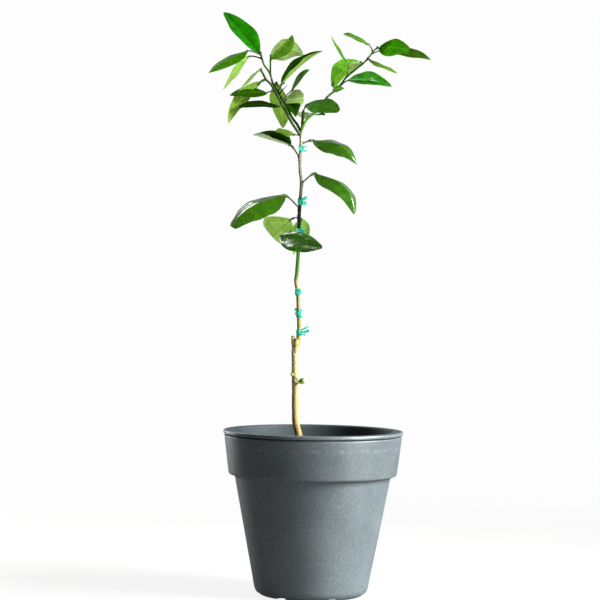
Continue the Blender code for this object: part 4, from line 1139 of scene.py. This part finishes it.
# Deep teal for the wound collar is partly painted shade; light aqua for the tails is partly painted light.
wound_shades, loose_shades = [(0.38, "#067058"), (0.6, "#10b494")], [(0.38, "#0cb898"), (0.6, "#34f0d4")]
tape_finishes = [
    grained("turquoise vinyl tape, wound in layers", "#10b494", 0.36, 2.2, 2.0, wound_shades, **tape_look),
    grained("turquoise vinyl tape, one layer", "#34f0d4", 0.34, 2.2, 2.0, loose_shades, **tape_look),
]
TIES = [  # low and high edge, then tails: share of the height, heading, rise, length, half width
    (618.5, 627.5, [(0.62, -12, 14, 8, 1.5), (0.45, -28, -24, 8.5, 1.8)]),
    (544.0, 553.5, [(0.62, -14, 26, 8.5, 2.3), (0.4, -8, -14, 6.5, 3.0)]),
    (504.5, 511.0, [(0.5, -24, 6, 6.5, 3.6)]),
    (418.0, 427.5, [(0.6, -16, 8, 3.5, 2.4), (0.45, -30, -18, 4.5, 1.0)]),
    (386.5, 397.5, [(0.75, 163, 28, 4.5, 1.9), (0.3, -16, -30, 4.0, 1.5), (0.7, -10, 30, 3.5, 1.4)]),
    (361.5, 369.5, [(0.8, -10, 20, 13, 1.3), (0.5, -22, 4, 14, 1.8), (0.3, -32, -14, 9, 1.1)]),
]


def ribbon(spine, edge, columns=9, worn=0):
    """A closed strip: spine + w edge, w from -1 to 1, and half a thickness each way along its normal."""
    w = np.linspace(-1, 1, columns)
    middle = spine[:, None] + edge[:, None] * w[None, :, None]
    middle = middle + 0.22 * smooth_noise(middle, 1.9, 51)[..., None] * np.array([1, 1, 0.4])
    normal = unit(np.cross(np.gradient(middle, axis=0), edge[:, None]))
    thick = TAPE_THICKNESS / 2 * np.sqrt(1 - w**8 + 1e-4)[None, :, None]
    rings = folded(middle + normal * thick, middle - normal * thick)
    return loft(rings, rings[0].mean(axis=0), rings[-1].mean(axis=0), worn)


def tail(root, heading, rise, length, wide, rng, number):
    """A snipped end: root + ahead (2.2 + t length) + curl, its edge widening and twisting about ahead."""
    ahead = direction(heading, rise)
    up = unit(np.cross(np.cross(ahead, (0, 0, 1.0)), ahead))
    aside = np.cross(ahead, up)
    t = np.linspace(0, 1, 22)[:, None]
    curl = aside * 0.8 * np.sin(2.4 * t + number) + up * 0.12 * length * t**2
    twist = 0.5 * t * rng.uniform(-1, 1) * np.pi
    edge = wide * (0.75 + 0.35 * t) * (up * np.cos(twist) + aside * np.sin(twist))
    return ribbon(root + ahead * (2.2 + t * length) + curl, edge, columns=7, worn=1)


def tie(low, high, tails, seed):
    """Collar of two overlapping turns, a knot, and the snipped tails."""
    rng = np.random.default_rng(seed)
    s = np.linspace(0, 1, 90)
    turn = 2 * np.pi * TAPE_TURNS * s + rng.uniform(0, 6)
    middle = (low + high) / 2
    rise = middle + (s - 0.5) * (high - low) * 0.3
    reach = radii_at(rise, SCION_RADII) + 0.5 + 0.45 * s
    spine = at_height(routes["scion"], rise) + unit_circle(turn) * reach[:, None]
    wound = ribbon(spine, np.tile((0, 0, (high - low) * 0.42), (len(s), 1)))
    loose = []
    for number, (share, *cut) in enumerate(tails):
        root = at_height(routes["scion"], low + (high - low) * share)
        loose.append(tail(root, *cut, rng, number))
    knot = at_height(routes["scion"], middle)
    knot = knot + direction(tails[0][1], 0) * (radii_at(middle, SCION_RADII) + 1.0)
    return [wound] + pebbles([knot], [np.array([1.5, 1.5, 1.9])], seed, 0.3) + loose


for number, row in enumerate(TIES, 1):
    piece(f"tape_tie_{number}", tie(*row, 59 + number), tape_finishes, [f"tie_{number}"])

# %% [markdown]
# ## A sprout on the rootstock
# Rootstocks send out shoots of their own, which a grower rubs off. This one is a fresh lime-green
# bud on a bent stub with two leaflets, small enough that three tubes and two small blades do it.

# %% Sprout
# Growth a few days old has no bark yet: it is yellow green with darker blotches.
fresh_green = grained(
    "fresh lime-green shoot", "#8aa62a", 0.5, 3, 2.0, [(0.35, "#4f6f1c"), (0.62, "#b9c232")]
)
root = at_height(smooth_route(ROOTSTOCK, 3), 293.0)
fork = root + (6.0, -7.0, 3.4)
bud = root + (-4.6, -7.2, 13.8)
stub = smooth_route([root + (0.7, -4.0, 0.2), root + (2.6, -6.0, 1.0), fork], 0.6)
stem_up = smooth_route([fork - (0.6, 0, 0.2), fork + (-4.2, -0.2, 4.2), bud + (1.6, 0, -1.8)], 0.6)
cone = smooth_route([bud + (2.4, 0, -2.4), bud, bud + (-2.4, 0, 1.6)], 0.5)
cone_r = 0.5 + 1.7 * np.sin(np.pi * np.linspace(0, 1, len(cone)) ** 0.9) ** 1.2
sprout = [
    tube(cone, cone_r, 14),
    tube(stub, np.linspace(1.2, 0.8, len(stub)), 12, worn=2),
    tube(stem_up, np.linspace(0.85, 0.7, len(stem_up)), 10, worn=2),
]
for rise, roll in ((36, 60), (-6, 75)):
    sizes, bend = (8.5, 5.5, 352, rise, roll), (0.02, 4, 0)
    sprout.append(blade(fork - (1.0, 0, 0), sizes, bend, seed=5, upper=1, under=1, across=13, along=24))
greens = [fresh_green, leaf_finishes["moss"], stalk_green]
piece("rootstock_sprout", sprout, greens, ["sprout"])
